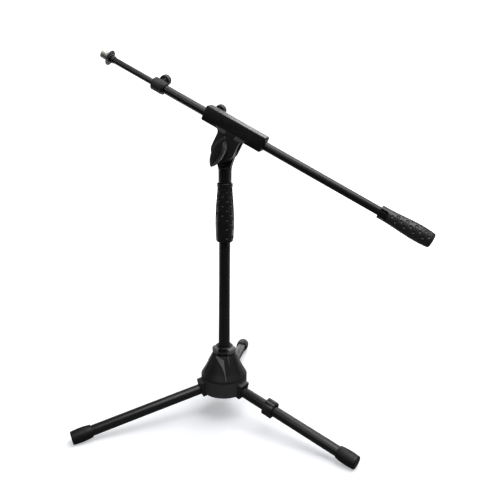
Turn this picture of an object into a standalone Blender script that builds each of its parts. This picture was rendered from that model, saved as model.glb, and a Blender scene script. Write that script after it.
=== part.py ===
"""Low-level boom microphone stand: folding tripod, clutch column, tilting clamp and telescopic boom.

Metres, +Z up. The column stands on the Z axis of the stand_frame empty and the boom lies in its XZ plane,
microphone end towards -X. stand_frame is shifted so that the footprint is centred on the origin.
"""

import math

import bmesh
import bpy
import numpy as np
from mathutils import Vector

# ---------------------------------------------------------------- driving dimensions
FIT_GAP = 0.0003            # clearance between neighbouring pieces
ROUND_STEPS = 24            # facets of a tube
FINE_STEPS = 32             # facets of a shaped grip
HUB_STEPS = 48              # facets of the hub
SMALL_STEPS = 12            # facets of screws and bolts

# tripod
HUB_SKIRT_RADIUS = 0.0440
HUB_BOTTOM = 0.0572
HUB_SHOULDER = 0.0885
HUB_CONE_TOP = 0.1330
HUB_TOP = 0.1465
HUB_COLLAR_RADIUS = 0.0222
HUB_BOSS_RADIUS = 0.0180
LEG_RIGHT_YAW = math.radians(-21.1)
LEG_SPACING = math.radians(120.0)
LEG_PIVOT_RADIUS = 0.0300
LEG_PIVOT_HEIGHT = 0.0678
LEG_FOOT_REACH = 0.2921     # column axis to the centre of the foot's end face
FOOT_END_HEIGHT = 0.0140
FLOOR_HEIGHT = 0.0028       # each foot is flat where it rests
LEG_TUBE_RADIUS = 0.0098
LEG_TUBE_WALL = 0.0012
FOOT_LENGTH = 0.0370
FOOT_END_RADIUS = 0.0124
FOOT_BULGE_RADIUS = 0.0132
FOOT_NECK_RADIUS = 0.0117
KNUCKLE_WIDTH = 0.0240
KNUCKLE_OUT = 0.0190
KNUCKLE_TOP = 0.0165
KNUCKLE_UNDER = 0.0122
KNUCKLE_HEEL = 0.0115
HUB_CHEEK = 0.0040          # wall beside each leg slot
PIVOT_BOLT_RADIUS = 0.0030
CLIP_DISTANCE = 0.0815      # pivot to the middle of the leg clip
CLIP_LENGTH = 0.0200

# column
COLUMN_RADIUS = 0.0106
COLUMN_WALL = 0.0012
COLUMN_BOTTOM = 0.0590
COLUMN_TOP = 0.4530
INNER_COLUMN_RADIUS = 0.0082
INNER_COLUMN_WALL = 0.0012
INNER_COLUMN_BOTTOM = 0.1050
INNER_COLUMN_TOP = 0.4825
GRIP_BOTTOM = 0.3540
CLUTCH_SLEEVE_RADIUS = 0.0124
CLUTCH_FLANGE_RADIUS = 0.0140
CLUTCH_FLANGE_TOP = 0.4612

# tilting head
HEAD_SOCKET_RADIUS = 0.0114
HEAD_SOCKET_BOTTOM = 0.4618
HEAD_SOCKET_TOP = 0.4890
TILT_HEIGHT = 0.5202
TILT_ANGLE = math.radians(26.2)
TONGUE_RADIUS = 0.0204
TONGUE_HALF = 0.0055
CHEEK_RADIUS = 0.0210
CHEEK_INNER = 0.0090
CHEEK_OUTER = 0.0152
CHEEK_FLARE = 0.0285
TILT_BOLT_RADIUS = 0.0040

# clamp and boom, in the clamp frame: X along the boom towards its grip, Z away from the pivot
BOOM_OFFSET = 0.0396
BLOCK_HALF_LENGTH = 0.0590
BLOCK_HALF_WIDTH = 0.0130
BLOCK_HALF_HEIGHT = 0.0133
BLOCK_RISE = 0.0014         # the block stands a little proud above the boom
LINER_RADIUS = 0.0093
BOOM_RADIUS = 0.0077
BOOM_WALL = 0.0012
BOOM_FRONT = -0.1650
BOOM_REAR = 0.3770
COLLAR_FRONT = -0.1665
COLLAR_REAR = -0.1420
COLLAR_RADIUS = 0.0117
INNER_BOOM_RADIUS = 0.0055
INNER_BOOM_WALL = 0.0010
INNER_BOOM_FRONT = -0.2520
INNER_BOOM_REAR = 0.0450
STUD_TIP = -0.2735
STUD_RADIUS = 0.0079
FLANGE_FRONT = -0.2580
FLANGE_REAR = -0.2555
FLANGE_RADIUS = 0.0138
CLAMP_KNOB_OFFSET = -0.0463
CLAMP_KNOB_BASE = 0.0320     # boom axis to the underside of the knob
EXTENSION_KNOB_OFFSET = -0.1593
EXTENSION_KNOB_BASE = 0.0270
KNOB_LIFT = math.radians(13.0)
KNOB_RADIUS = 0.0100
KNOB_SCREW_RADIUS = 0.0030
HANDLE_ROOT = -0.0345
HANDLE_CREST = -0.0500
HANDLE_HALF_LENGTH = 0.0290
HANDLE_HALF_WIDTH = 0.0112
CROWN_FRONT = 0.2823
CROWN_REAR = 0.2975
BOOM_GRIP_END = 0.3812

# ---------------------------------------------------------------- derived dimensions
LEG_RUN = LEG_FOOT_REACH - LEG_PIVOT_RADIUS
LEG_DROP = LEG_PIVOT_HEIGHT - FOOT_END_HEIGHT
LEG_LENGTH = math.hypot(LEG_RUN, LEG_DROP)
LEG_SLOPE = math.atan2(LEG_DROP, LEG_RUN)
LEG_YAWS = {
    "right": LEG_RIGHT_YAW,
    "back": LEG_RIGHT_YAW + LEG_SPACING,
    "left": LEG_RIGHT_YAW - LEG_SPACING,
}
ALONG_X = (0.0, math.pi / 2, 0.0)
ALONG_Y = (-math.pi / 2, 0.0, 0.0)
KNOB_AXIS = (KNOB_LIFT - math.pi / 2, 0.0, 0.0)
UPRIGHT_FROM_PLAN = (math.pi / 2, 0.0, 0.0)


# ---------------------------------------------------------------- building tools
def clear_scene():
    for obj in list(bpy.data.objects):
        bpy.data.objects.remove(obj, do_unlink=True)


def make_material(name, colour, roughness, metallic):
    material = bpy.data.materials.new(name)
    material.use_nodes = True
    shader = material.node_tree.nodes["Principled BSDF"]
    shader.inputs["Base Color"].default_value = (*colour, 1.0)
    shader.inputs["Roughness"].default_value = roughness
    shader.inputs["Metallic"].default_value = metallic
    return material


def make_frame(name, parent=None, location=(0, 0, 0), rotation=(0, 0, 0)):
    frame = bpy.data.objects.new(name, None)
    frame.empty_display_size = 0.02
    frame.parent = parent
    frame.location = location
    frame.rotation_euler = rotation
    bpy.context.scene.collection.objects.link(frame)
    return frame


def make_object(name, mesh_data, parent, material=None, location=(0, 0, 0), rotation=(0, 0, 0)):
    bmesh.ops.remove_doubles(mesh_data, verts=mesh_data.verts, dist=1e-7)
    bmesh.ops.recalc_face_normals(mesh_data, faces=mesh_data.faces)
    mesh = bpy.data.meshes.new(name)
    mesh_data.to_mesh(mesh)
    mesh_data.free()
    mesh.shade_smooth()
    mesh.set_sharp_from_angle(angle=math.radians(35))
    obj = bpy.data.objects.new(name, mesh)
    obj.parent = parent
    obj.location = location
    obj.rotation_euler = rotation
    if material:
        mesh.materials.append(material)
    bpy.context.scene.collection.objects.link(obj)
    return obj


def turned(profile, steps=ROUND_STEPS):
    """A solid turned round Z from (radius, height) points; a profile that starts and ends at radius 0 is open."""
    shape = bmesh.new()
    points = [shape.verts.new((radius, 0.0, height)) for radius, height in profile]
    on_axis = profile[0][0] == 0 and profile[-1][0] == 0
    ends = points[1:] if on_axis else points[1:] + points[:1]
    for start, end in zip(points, ends):
        shape.edges.new((start, end))
    bmesh.ops.spin(
        shape, geom=shape.verts[:] + shape.edges[:], cent=(0, 0, 0), axis=(0, 0, 1),
        angle=2 * math.pi, steps=steps, use_merge=True,
    )
    bmesh.ops.remove_doubles(shape, verts=shape.verts, dist=1e-7)
    return shape


def prism(outline, low, high):
    """A solid with the outline (x, y) between two heights."""
    shape = bmesh.new()
    base = shape.faces.new([shape.verts.new((x, y, low)) for x, y in outline])
    raised = bmesh.ops.extrude_face_region(shape, geom=[base])
    moved = [item for item in raised["geom"] if isinstance(item, bmesh.types.BMVert)]
    bmesh.ops.translate(shape, verts=moved, vec=(0, 0, high - low))
    return shape


def lofted(rings):
    """A solid through rings of equally many points, closed by a face at each end."""
    shape = bmesh.new()
    rows = [[shape.verts.new(point) for point in ring] for ring in rings]
    for lower, upper in zip(rows, rows[1:]):
        for i, vert in enumerate(lower):
            j = (i + 1) % len(lower)
            shape.faces.new((vert, lower[j], upper[j], upper[i]))
    shape.faces.new(rows[0][::-1])
    shape.faces.new(rows[-1])
    return shape


def tube_profile(outer, wall, low, high):
    return [(outer, high), (outer, low), (outer - wall, low), (outer - wall, high)]


def ring_profile(outer, inner, low, high, chamfer=0.0):
    if not chamfer:
        return [(outer, high), (outer, low), (inner, low), (inner, high)]
    return [
        (outer - chamfer, high), (outer, high - chamfer), (outer, low + chamfer), (outer - chamfer, low),
        (inner, low), (inner, high),
    ]


def arc(radius, start, end, steps, centre=(0.0, 0.0)):
    angles = np.linspace(start, end, steps)
    return [(centre[0] + radius * math.cos(a), centre[1] + radius * math.sin(a)) for a in angles]


def split_ring(outer, inner, gap):
    """Outline of a ring with a slit of the given width at +Y."""
    outer_half = math.asin(gap / 2 / outer)
    inner_half = math.asin(gap / 2 / inner)
    top = math.pi / 2
    outside = arc(outer, top + outer_half, top + 2 * math.pi - outer_half, ROUND_STEPS)
    inside = arc(inner, top + 2 * math.pi - inner_half, top + inner_half, ROUND_STEPS)
    return outside + inside


def rounded_rectangle(half_x, half_y, radius, steps=4):
    corners = ((1, 1, 0), (-1, 1, 1), (-1, -1, 2), (1, -1, 3))
    outline = []
    for sign_x, sign_y, quarter in corners:
        centre = (sign_x * (half_x - radius), sign_y * (half_y - radius))
        start = quarter * math.pi / 2
        outline += arc(radius, start, start + math.pi / 2, steps, centre)
    return outline


def screw_hole():
    return turned([(0, 0.03), (KNOB_SCREW_RADIUS + FIT_GAP, 0.03), (KNOB_SCREW_RADIUS + FIT_GAP, 0), (0, 0)],
                  SMALL_STEPS)


def hexagon(across_corners):
    return arc(across_corners, 0.0, 2 * math.pi * 5 / 6, 6)


def combine(target, shape, operation, parent, location=(0, 0, 0), rotation=(0, 0, 0)):
    """Adds or cuts a helper shape, which stays hidden."""
    helper = make_object(f"{target.name}_{operation.lower()}_{len(target.modifiers)}", shape, parent,
                         location=location, rotation=rotation)
    helper.hide_render = True
    helper.display_type = "WIRE"
    modifier = target.modifiers.new(operation.title(), "BOOLEAN")
    modifier.operation = operation
    modifier.solver = "EXACT"
    modifier.object = helper
    return helper


def cut(target, shape, parent, location=(0, 0, 0), rotation=(0, 0, 0)):
    return combine(target, shape, "DIFFERENCE", parent, location, rotation)


def add(target, shape, parent, location=(0, 0, 0), rotation=(0, 0, 0)):
    return combine(target, shape, "UNION", parent, location, rotation)


# ---------------------------------------------------------------- materials
clear_scene()
POWDER_COAT = make_material("powder_coated_steel", (0.016, 0.016, 0.018), 0.38, 0.0)
HUB_PLASTIC = make_material("hub_plastic", (0.020, 0.020, 0.022), 0.45, 0.0)
HARD_PLASTIC = make_material("hard_plastic", (0.018, 0.018, 0.020), 0.42, 0.0)
SOFT_GRIP = make_material("soft_grip", (0.024, 0.024, 0.027), 0.62, 0.0)
RUBBER = make_material("foot_rubber", (0.030, 0.030, 0.031), 0.75, 0.0)
LINER_PLASTIC = make_material("liner_plastic", (0.10, 0.10, 0.105), 0.5, 0.0)
BLACK_STEEL = make_material("black_steel", (0.030, 0.030, 0.032), 0.35, 0.6)
ZINC_STEEL = make_material("zinc_plated_steel", (0.55, 0.56, 0.58), 0.35, 1.0)
NICKEL = make_material("nickel_plate", (0.72, 0.70, 0.66), 0.25, 1.0)
CASTING = make_material("cast_zinc_black", (0.020, 0.020, 0.022), 0.42, 0.2)

STAND = make_frame("stand_frame")
LEG_FRAMES = {}
for side, yaw in LEG_YAWS.items():
    heading = make_frame(f"leg_heading_{side}", STAND, rotation=(0, 0, yaw))
    LEG_FRAMES[side] = make_frame(
        f"leg_frame_{side}", heading,
        location=(LEG_PIVOT_RADIUS, 0, LEG_PIVOT_HEIGHT), rotation=(0, LEG_SLOPE, 0),
    )
CLAMP = make_frame("clamp_frame", STAND, location=(0, 0, TILT_HEIGHT), rotation=(0, TILT_ANGLE, 0))
BOOM_AXIS = make_frame("boom_axis", CLAMP, location=(0, 0, BOOM_OFFSET), rotation=ALONG_X)


# ---------------------------------------------------------------- hub
def build_hub():
    bore = COLUMN_RADIUS + FIT_GAP
    seat = 0.0153
    profile = [
        (seat, HUB_TOP), (0.0172, HUB_TOP), (0.0194, HUB_TOP - 0.0008), (0.0213, HUB_TOP - 0.0030),
        (HUB_COLLAR_RADIUS, HUB_TOP - 0.0060), (HUB_COLLAR_RADIUS, 0.1375), (0.0214, 0.1348), (0.0202, 0.1338),
        (0.0202, HUB_CONE_TOP),
        (0.0235, HUB_CONE_TOP - 0.0006), (0.0436, HUB_SHOULDER + 0.0012),
        (HUB_SKIRT_RADIUS, HUB_SHOULDER - 0.0010), (HUB_SKIRT_RADIUS, HUB_BOTTOM + 0.0020),
        (HUB_SKIRT_RADIUS - 0.0012, HUB_BOTTOM), (bore, HUB_BOTTOM), (bore, 0.1357), (seat, 0.1357),
    ]
    hub = make_object("hub_casting", turned(profile, HUB_STEPS), STAND, HUB_PLASTIC)
    cheek_plane = KNUCKLE_WIDTH / 2 + FIT_GAP + HUB_CHEEK
    pocket_outer = HUB_SKIRT_RADIUS - 0.0038
    pocket_inner = HUB_BOSS_RADIUS + 0.0010
    reach_outer = LEG_SPACING / 2 - math.asin(cheek_plane / pocket_outer)
    reach_inner = LEG_SPACING / 2 - math.asin(cheek_plane / pocket_inner)
    pocket = arc(pocket_outer, -reach_outer, reach_outer, 11) + arc(pocket_inner, reach_inner, -reach_inner, 3)
    slot_half = KNUCKLE_WIDTH / 2 + FIT_GAP
    slot_ceiling = KNUCKLE_TOP + FIT_GAP
    slot_inner = HUB_BOSS_RADIUS - LEG_PIVOT_RADIUS
    slot = [(slot_inner, -slot_half), (0.030, -slot_half), (0.030, slot_half), (slot_inner, slot_half)]
    hole = PIVOT_BOLT_RADIUS + FIT_GAP
    for side, yaw in LEG_YAWS.items():
        cut(hub, prism(slot, -0.050, slot_ceiling), LEG_FRAMES[side])
        cut(hub, prism(pocket, 0.040, HUB_SHOULDER - 0.0010), STAND, rotation=(0, 0, yaw + LEG_SPACING / 2))
        cut(hub, turned([(0, 0.018), (hole, 0.018), (hole, -0.018), (0, -0.018)], SMALL_STEPS),
            LEG_FRAMES[side], rotation=ALONG_Y)
    return hub


def build_hub_bushing():
    profile = ring_profile(0.0150, COLUMN_RADIUS + FIT_GAP, 0.1360, HUB_TOP + 0.0006, 0.0006)
    return make_object("hub_bushing", turned(profile), STAND, HARD_PLASTIC)


def build_base_fastener():
    plug_radius = COLUMN_RADIUS - COLUMN_WALL - FIT_GAP
    low = COLUMN_BOTTOM + 0.0005
    plug = [(0, low + 0.0190), (plug_radius, low + 0.0190), (plug_radius, low), (0.0038, low),
            (0.0038, low + 0.0145), (0, low + 0.0145)]
    make_object("column_base_plug", turned(plug), STAND, ZINC_STEEL)
    washer_top = HUB_BOTTOM - FIT_GAP
    washer = ring_profile(0.0155, 0.0038, washer_top - 0.0017, washer_top, 0.0003)
    make_object("base_washer", turned(washer), STAND, ZINC_STEEL)
    head_top = washer_top - 0.0020
    bolt = make_object("base_bolt", prism(hexagon(0.0075), head_top - 0.0050, head_top), STAND, ZINC_STEEL)
    shank = [(0, low + 0.0140), (0.0030, low + 0.0140), (0.0035, low + 0.0135), (0.0035, head_top - 0.0020),
             (0, head_top - 0.0020)]
    add(bolt, turned(shank, SMALL_STEPS), STAND)


# ---------------------------------------------------------------- legs
def build_leg(side):
    frame = LEG_FRAMES[side]
    knuckle_bore = 0.0045
    heel = arc(KNUCKLE_HEEL, math.radians(100), math.radians(245), 12)
    outline = heel + [
        (KNUCKLE_OUT - 0.0015, -KNUCKLE_UNDER), (KNUCKLE_OUT, -KNUCKLE_UNDER + 0.0015),
        (KNUCKLE_OUT, KNUCKLE_TOP - 0.0015), (KNUCKLE_OUT - 0.0015, KNUCKLE_TOP), (0.0040, KNUCKLE_TOP),
    ]
    half = KNUCKLE_WIDTH / 2
    knuckle = make_object(f"leg_knuckle_{side}", prism(outline, -half, half), frame, HARD_PLASTIC,
                          rotation=UPRIGHT_FROM_PLAN)
    socket = LEG_TUBE_RADIUS + FIT_GAP
    cut(knuckle, turned([(0, 0.020), (socket, 0.020), (socket, knuckle_bore), (0, knuckle_bore)]), frame,
        rotation=ALONG_X)
    hole = PIVOT_BOLT_RADIUS + FIT_GAP
    cut(knuckle, turned([(0, 0.018), (hole, 0.018), (hole, -0.018), (0, -0.018)], SMALL_STEPS), frame,
        rotation=ALONG_Y)

    tube_end = LEG_LENGTH - 0.0050
    make_object(f"leg_tube_{side}",
                turned(tube_profile(LEG_TUBE_RADIUS, LEG_TUBE_WALL, knuckle_bore + FIT_GAP, tube_end)),
                frame, POWDER_COAT, rotation=ALONG_X)

    neck = LEG_LENGTH - FOOT_LENGTH
    bore = LEG_TUBE_RADIUS + FIT_GAP
    profile = [
        (0, LEG_LENGTH), (FOOT_END_RADIUS - 0.0012, LEG_LENGTH), (FOOT_END_RADIUS, LEG_LENGTH - 0.0012),
        (FOOT_BULGE_RADIUS - 0.0003, LEG_LENGTH - 0.0090), (FOOT_BULGE_RADIUS, LEG_LENGTH - 0.0160),
        (FOOT_BULGE_RADIUS - 0.0003, neck + 0.0120), (FOOT_NECK_RADIUS + 0.0004, neck + 0.0040),
        (FOOT_NECK_RADIUS, neck), (bore, neck), (bore, tube_end + FIT_GAP), (0, tube_end + FIT_GAP),
    ]
    foot = make_object(f"leg_foot_{side}", turned(profile), frame, RUBBER, rotation=ALONG_X)
    floor = prism([(-0.1, -0.1), (0.4, -0.1), (0.4, 0.1), (-0.1, 0.1)], -0.05, FLOOR_HEIGHT)
    cut(foot, floor, STAND, rotation=(0, 0, LEG_YAWS[side]))

    outside = KNUCKLE_WIDTH / 2 + HUB_CHEEK + 2 * FIT_GAP
    bolt = make_object(f"leg_pivot_bolt_{side}", prism(hexagon(0.0045), -outside - 0.0032, -outside), frame,
                       ZINC_STEEL, rotation=ALONG_Y)
    shank_end = outside + 0.0045
    shank = [(0, shank_end), (PIVOT_BOLT_RADIUS - 0.0005, shank_end), (PIVOT_BOLT_RADIUS, shank_end - 0.0005),
             (PIVOT_BOLT_RADIUS, -outside - 0.0010), (0, -outside - 0.0010)]
    add(bolt, turned(shank, SMALL_STEPS), frame, rotation=ALONG_Y)
    nut = make_object(f"leg_pivot_nut_{side}", prism(hexagon(0.0045), outside, outside + 0.0032), frame,
                      ZINC_STEEL, rotation=ALONG_Y)
    cut(nut, turned([(0, 0.030), (hole, 0.030), (hole, 0.0), (0, 0.0)], SMALL_STEPS), frame, rotation=ALONG_Y)


def build_leg_clip():
    """A C-shaped clip round the leg, with two raised ears beside its slit."""
    inner = LEG_TUBE_RADIUS + FIT_GAP
    slit_half = 0.0012
    ear_half = 0.0075
    ear_top = 0.0150
    body_half = 0.0124
    slit_angle = math.asin(slit_half / inner)
    top = math.pi / 2
    outline = [(slit_half, ear_top), (ear_half, ear_top), (ear_half, body_half)]
    outline += arc(0.004, top, 0.0, 4, (body_half - 0.004, body_half - 0.004))
    outline += arc(0.004, 0.0, -top, 4, (body_half - 0.004, -body_half + 0.004))
    outline += arc(0.004, -top, -2 * top, 4, (-body_half + 0.004, -body_half + 0.004))
    outline += arc(0.004, 2 * top, top, 4, (-body_half + 0.004, body_half - 0.004))
    outline += [(-ear_half, body_half), (-ear_half, ear_top), (-slit_half, ear_top)]
    outline += arc(inner, top + slit_angle, top + 2 * math.pi - slit_angle, ROUND_STEPS)
    make_object("leg_clip", prism(outline, -CLIP_LENGTH / 2, CLIP_LENGTH / 2), LEG_FRAMES["right"],
                HARD_PLASTIC, location=(CLIP_DISTANCE, 0, 0), rotation=(math.pi / 2, 0, math.pi / 2))


# ---------------------------------------------------------------- column
def build_column():
    make_object("column_outer_tube", turned(tube_profile(COLUMN_RADIUS, COLUMN_WALL, COLUMN_BOTTOM, COLUMN_TOP)),
                STAND, POWDER_COAT)
    make_object("column_inner_tube",
                turned(tube_profile(INNER_COLUMN_RADIUS, INNER_COLUMN_WALL, INNER_COLUMN_BOTTOM, INNER_COLUMN_TOP)),
                STAND, ZINC_STEEL)
    bush = COLUMN_RADIUS - COLUMN_WALL - FIT_GAP
    stub = INNER_COLUMN_RADIUS - INNER_COLUMN_WALL - FIT_GAP
    low = INNER_COLUMN_BOTTOM
    profile = [(0, low + 0.012), (stub, low + 0.012), (stub, low - FIT_GAP), (bush, low - FIT_GAP),
               (bush, low - 0.0070), (0, low - 0.0070)]
    make_object("column_guide_bush", turned(profile), STAND, LINER_PLASTIC)
    sleeve = split_ring(bush, INNER_COLUMN_RADIUS + FIT_GAP, 0.0020)
    collet = make_object("clutch_collet", prism(sleeve, 0.4250, COLUMN_TOP + 0.0020), STAND, LINER_PLASTIC)
    lip = split_ring(COLUMN_RADIUS, INNER_COLUMN_RADIUS + FIT_GAP, 0.0020)
    add(collet, prism(lip, COLUMN_TOP + FIT_GAP, COLUMN_TOP + 0.0035), STAND)


def build_clutch():
    inner = COLUMN_RADIUS + FIT_GAP
    sleeve = ring_profile(CLUTCH_SLEEVE_RADIUS, inner, GRIP_BOTTOM + 0.0010, COLUMN_TOP - FIT_GAP)
    make_object("clutch_sleeve", turned(sleeve), STAND, HARD_PLASTIC)
    bore = CLUTCH_SLEEVE_RADIUS + FIT_GAP
    top = COLUMN_TOP - FIT_GAP
    grip = [
        (bore, top), (0.0133, top), (0.0136, 0.4500), (0.0137, 0.4460), (0.0151, 0.4310), (0.0162, 0.4160),
        (0.0168, 0.4020), (0.0170, 0.3880), (0.0167, 0.3730), (0.0162, 0.3610), (0.0156, GRIP_BOTTOM + 0.0022),
        (0.0143, GRIP_BOTTOM), (bore, GRIP_BOTTOM),
    ]
    make_object("clutch_grip", turned(grip, FINE_STEPS), STAND, SOFT_GRIP)
    flange = ring_profile(CLUTCH_FLANGE_RADIUS, inner + 0.0002, COLUMN_TOP, CLUTCH_FLANGE_TOP, 0.0010)
    make_object("clutch_flange", turned(flange), STAND, HARD_PLASTIC)


# ---------------------------------------------------------------- tilting head
def build_head():
    """Socket on the inner column, flaring into the round tongue between the clamp's cheeks."""
    bore = INNER_COLUMN_RADIUS + FIT_GAP
    blind = INNER_COLUMN_TOP + FIT_GAP
    socket = [
        (0, HEAD_SOCKET_TOP + 0.0030), (HEAD_SOCKET_RADIUS - 0.0040, HEAD_SOCKET_TOP + 0.0030),
        (HEAD_SOCKET_RADIUS, HEAD_SOCKET_TOP - 0.0010), (HEAD_SOCKET_RADIUS, HEAD_SOCKET_BOTTOM + 0.0008),
        (HEAD_SOCKET_RADIUS - 0.0008, HEAD_SOCKET_BOTTOM), (bore, HEAD_SOCKET_BOTTOM), (bore, blind), (0, blind),
    ]
    head = make_object("tilt_head", turned(socket), STAND, CASTING)
    disc = arc(TONGUE_RADIUS, math.radians(-30), math.radians(210), 17, (0, TILT_HEIGHT))
    tongue = disc + [(-0.0142, 0.4975), (-0.0108, HEAD_SOCKET_TOP - 0.004),
                     (0.0108, HEAD_SOCKET_TOP - 0.004), (0.0142, 0.4975)]
    add(head, prism(tongue, -TONGUE_HALF, TONGUE_HALF), STAND, rotation=UPRIGHT_FROM_PLAN)
    hole = TILT_BOLT_RADIUS + FIT_GAP
    cut(head, turned([(0, 0.02), (hole, 0.02), (hole, -0.02), (0, -0.02)], SMALL_STEPS), STAND,
        location=(0, 0, TILT_HEIGHT), rotation=ALONG_Y)
    screw_height = 0.4700
    cut(head, turned([(0, 0.02), (0.0028, 0.02), (0.0028, 0.004), (0, 0.004)], SMALL_STEPS), STAND,
        location=(0, 0, screw_height), rotation=ALONG_Y)
    make_object("head_set_screw",
                turned([(0, 0.0112), (0.0022, 0.0112), (0.0025, 0.0109), (0.0025, 0.0090), (0.0012, 0.0086), (0, 0.0086)],
                       SMALL_STEPS),
                STAND, BLACK_STEEL, location=(0, 0, screw_height), rotation=ALONG_Y)


# ---------------------------------------------------------------- clamp
def build_clamp():
    """Block round the boom with two cheeks that straddle the tongue."""
    bar = rounded_rectangle(BLOCK_HALF_WIDTH, BLOCK_HALF_HEIGHT, 0.0030)
    slim = rounded_rectangle(BLOCK_HALF_WIDTH - 0.0020, BLOCK_HALF_HEIGHT - 0.0020, 0.0025)
    ends = BLOCK_HALF_LENGTH
    sections = ((slim, -ends), (bar, -ends + 0.0030), (bar, ends - 0.0030), (slim, ends))
    rings = [[(position, y, z) for y, z in outline] for outline, position in sections]
    block = make_object("clamp_block", lofted(rings), CLAMP, CASTING,
                        location=(0, 0, BOOM_OFFSET + BLOCK_RISE))
    underside = BOOM_OFFSET + BLOCK_RISE - BLOCK_HALF_HEIGHT
    flare = arc(0.0070, math.radians(180), math.radians(90), 6, (CHEEK_RADIUS + 0.0070, underside - 0.0062))
    right = [(x, z) for x, z in flare]
    left = [(-x, z) for x, z in reversed(flare)]
    lobe = arc(CHEEK_RADIUS, math.radians(180), math.radians(360), 15)
    cheek = lobe + right + [(CHEEK_FLARE, underside + 0.0040), (-CHEEK_FLARE, underside + 0.0040)] + left
    for low, high in ((CHEEK_INNER, CHEEK_OUTER), (-CHEEK_OUTER, -CHEEK_INNER)):
        add(block, prism(cheek, low, high), CLAMP, rotation=UPRIGHT_FROM_PLAN)
    boss = [(0, 0.0265), (0.0060, 0.0265), (0.0068, 0.0180), (0.0068, 0.0105), (0, 0.0105)]
    knob_place = (CLAMP_KNOB_OFFSET, 0, BOOM_OFFSET)
    add(block, turned(boss, 16), CLAMP, knob_place, KNOB_AXIS)
    bore = LINER_RADIUS + FIT_GAP
    cut(block, turned([(0, 0.08), (bore, 0.08), (bore, -0.08), (0, -0.08)]), BOOM_AXIS)
    hole = TILT_BOLT_RADIUS + FIT_GAP
    cut(block, turned([(0, 0.03), (hole, 0.03), (hole, -0.03), (0, -0.03)], SMALL_STEPS), CLAMP, rotation=ALONG_Y)
    cut(block, screw_hole(), CLAMP, knob_place, KNOB_AXIS)


def build_clamp_liner():
    """Split plastic sleeve that grips the boom tube inside the block."""
    sleeve = split_ring(LINER_RADIUS, BOOM_RADIUS + FIT_GAP, 0.0080)
    make_object("clamp_liner", prism(sleeve, -BLOCK_HALF_LENGTH + 0.0010, BLOCK_HALF_LENGTH - 0.0010),
                BOOM_AXIS, LINER_PLASTIC, rotation=(0, 0, KNOB_LIFT))


def build_tilt_joint():
    hole = TILT_BOLT_RADIUS + FIT_GAP
    thin = TONGUE_HALF + FIT_GAP
    for side, sign in (("front", -1), ("rear", 1)):
        low, high = sorted((sign * thin, sign * (CHEEK_INNER - FIT_GAP)))
        make_object(f"friction_disc_{side}", turned(ring_profile(0.0135, hole, low, high)), CLAMP, RUBBER,
                    rotation=ALONG_Y)
    outside = CHEEK_OUTER + FIT_GAP
    make_object("tilt_washer", turned(ring_profile(0.0095, hole, outside, outside + 0.0016, 0.0003)), CLAMP,
                BLACK_STEEL, rotation=ALONG_Y)
    head = outside + 0.0016 + FIT_GAP
    bolt = make_object("tilt_bolt", prism(hexagon(0.0072), head, head + 0.0048), CLAMP, BLACK_STEEL,
                       rotation=ALONG_Y)
    shank = [(0, head + 0.0020), (TILT_BOLT_RADIUS, head + 0.0020), (TILT_BOLT_RADIUS, -0.0290),
             (TILT_BOLT_RADIUS - 0.0006, -0.0296), (0, -0.0296)]
    add(bolt, turned(shank, SMALL_STEPS), CLAMP, rotation=ALONG_Y)


def leaf_ring(width_scale, length_scale, depth, steps=28):
    """Leaf-shaped outline pointed at both ends, in the XZ plane at the given depth along Y."""
    ring = []
    for turn in np.linspace(0, 2 * math.pi, steps, endpoint=False):
        along = math.cos(turn)
        across = math.copysign(abs(math.sin(turn)) ** 1.35, math.sin(turn))
        ring.append((across * HANDLE_HALF_WIDTH * width_scale, depth,
                     along * HANDLE_HALF_LENGTH * length_scale))
    return ring


def build_tilt_handle():
    """Leaf-shaped wing with a central ridge, on a round stem in front of the cheek."""
    depth = HANDLE_CREST - HANDLE_ROOT
    sections = ((0.86, 0.95, 0.0), (1.0, 1.0, 0.16), (0.96, 0.985, 0.40), (0.62, 0.93, 0.76), (0.10, 0.86, 1.0))
    rings = [leaf_ring(width, length, HANDLE_ROOT + depth * share) for width, length, share in sections]
    handle = make_object("tilt_handle", lofted(rings), CLAMP, HARD_PLASTIC)
    outside = CHEEK_OUTER + FIT_GAP
    stem = [(0, -outside), (0.0095, -outside), (0.0095, -0.0300), (0.0080, HANDLE_ROOT - 0.0020),
            (0, HANDLE_ROOT - 0.0020)]
    add(handle, turned(stem), CLAMP, rotation=ALONG_Y)
    bore = TILT_BOLT_RADIUS + FIT_GAP
    recess = 0.0072
    socket = [(0, -0.0100), (recess, -0.0100), (recess, -0.0255), (bore, -0.0255), (bore, -0.0305), (0, -0.0305)]
    cut(handle, turned(socket, SMALL_STEPS), CLAMP, rotation=ALONG_Y)
    nut = make_object("tilt_handle_nut", prism(hexagon(0.0068), -0.0250, -outside - 0.0006), CLAMP, ZINC_STEEL,
                      rotation=ALONG_Y)
    cut(nut, turned([(0, 0.0), (bore, 0.0), (bore, -0.040), (0, -0.040)], SMALL_STEPS), CLAMP, rotation=ALONG_Y)


def knob_profile(base, radius, thickness):
    """Round knob with a hollow underside, from its base upwards along the screw."""
    top = base + thickness
    return [
        (0, top), (radius * 0.55, top), (radius * 0.86, top - 0.0010), (radius, top - 0.0032),
        (radius, base + 0.0008), (radius - 0.0008, base), (radius - 0.0022, base),
        (radius - 0.0026, base + 0.0050), (0.0060, base + 0.0050), (0.0056, base - 0.0010),
        (0.0033, base - 0.0010), (0.0033, base + 0.0070), (0, base + 0.0070),
    ]


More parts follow.
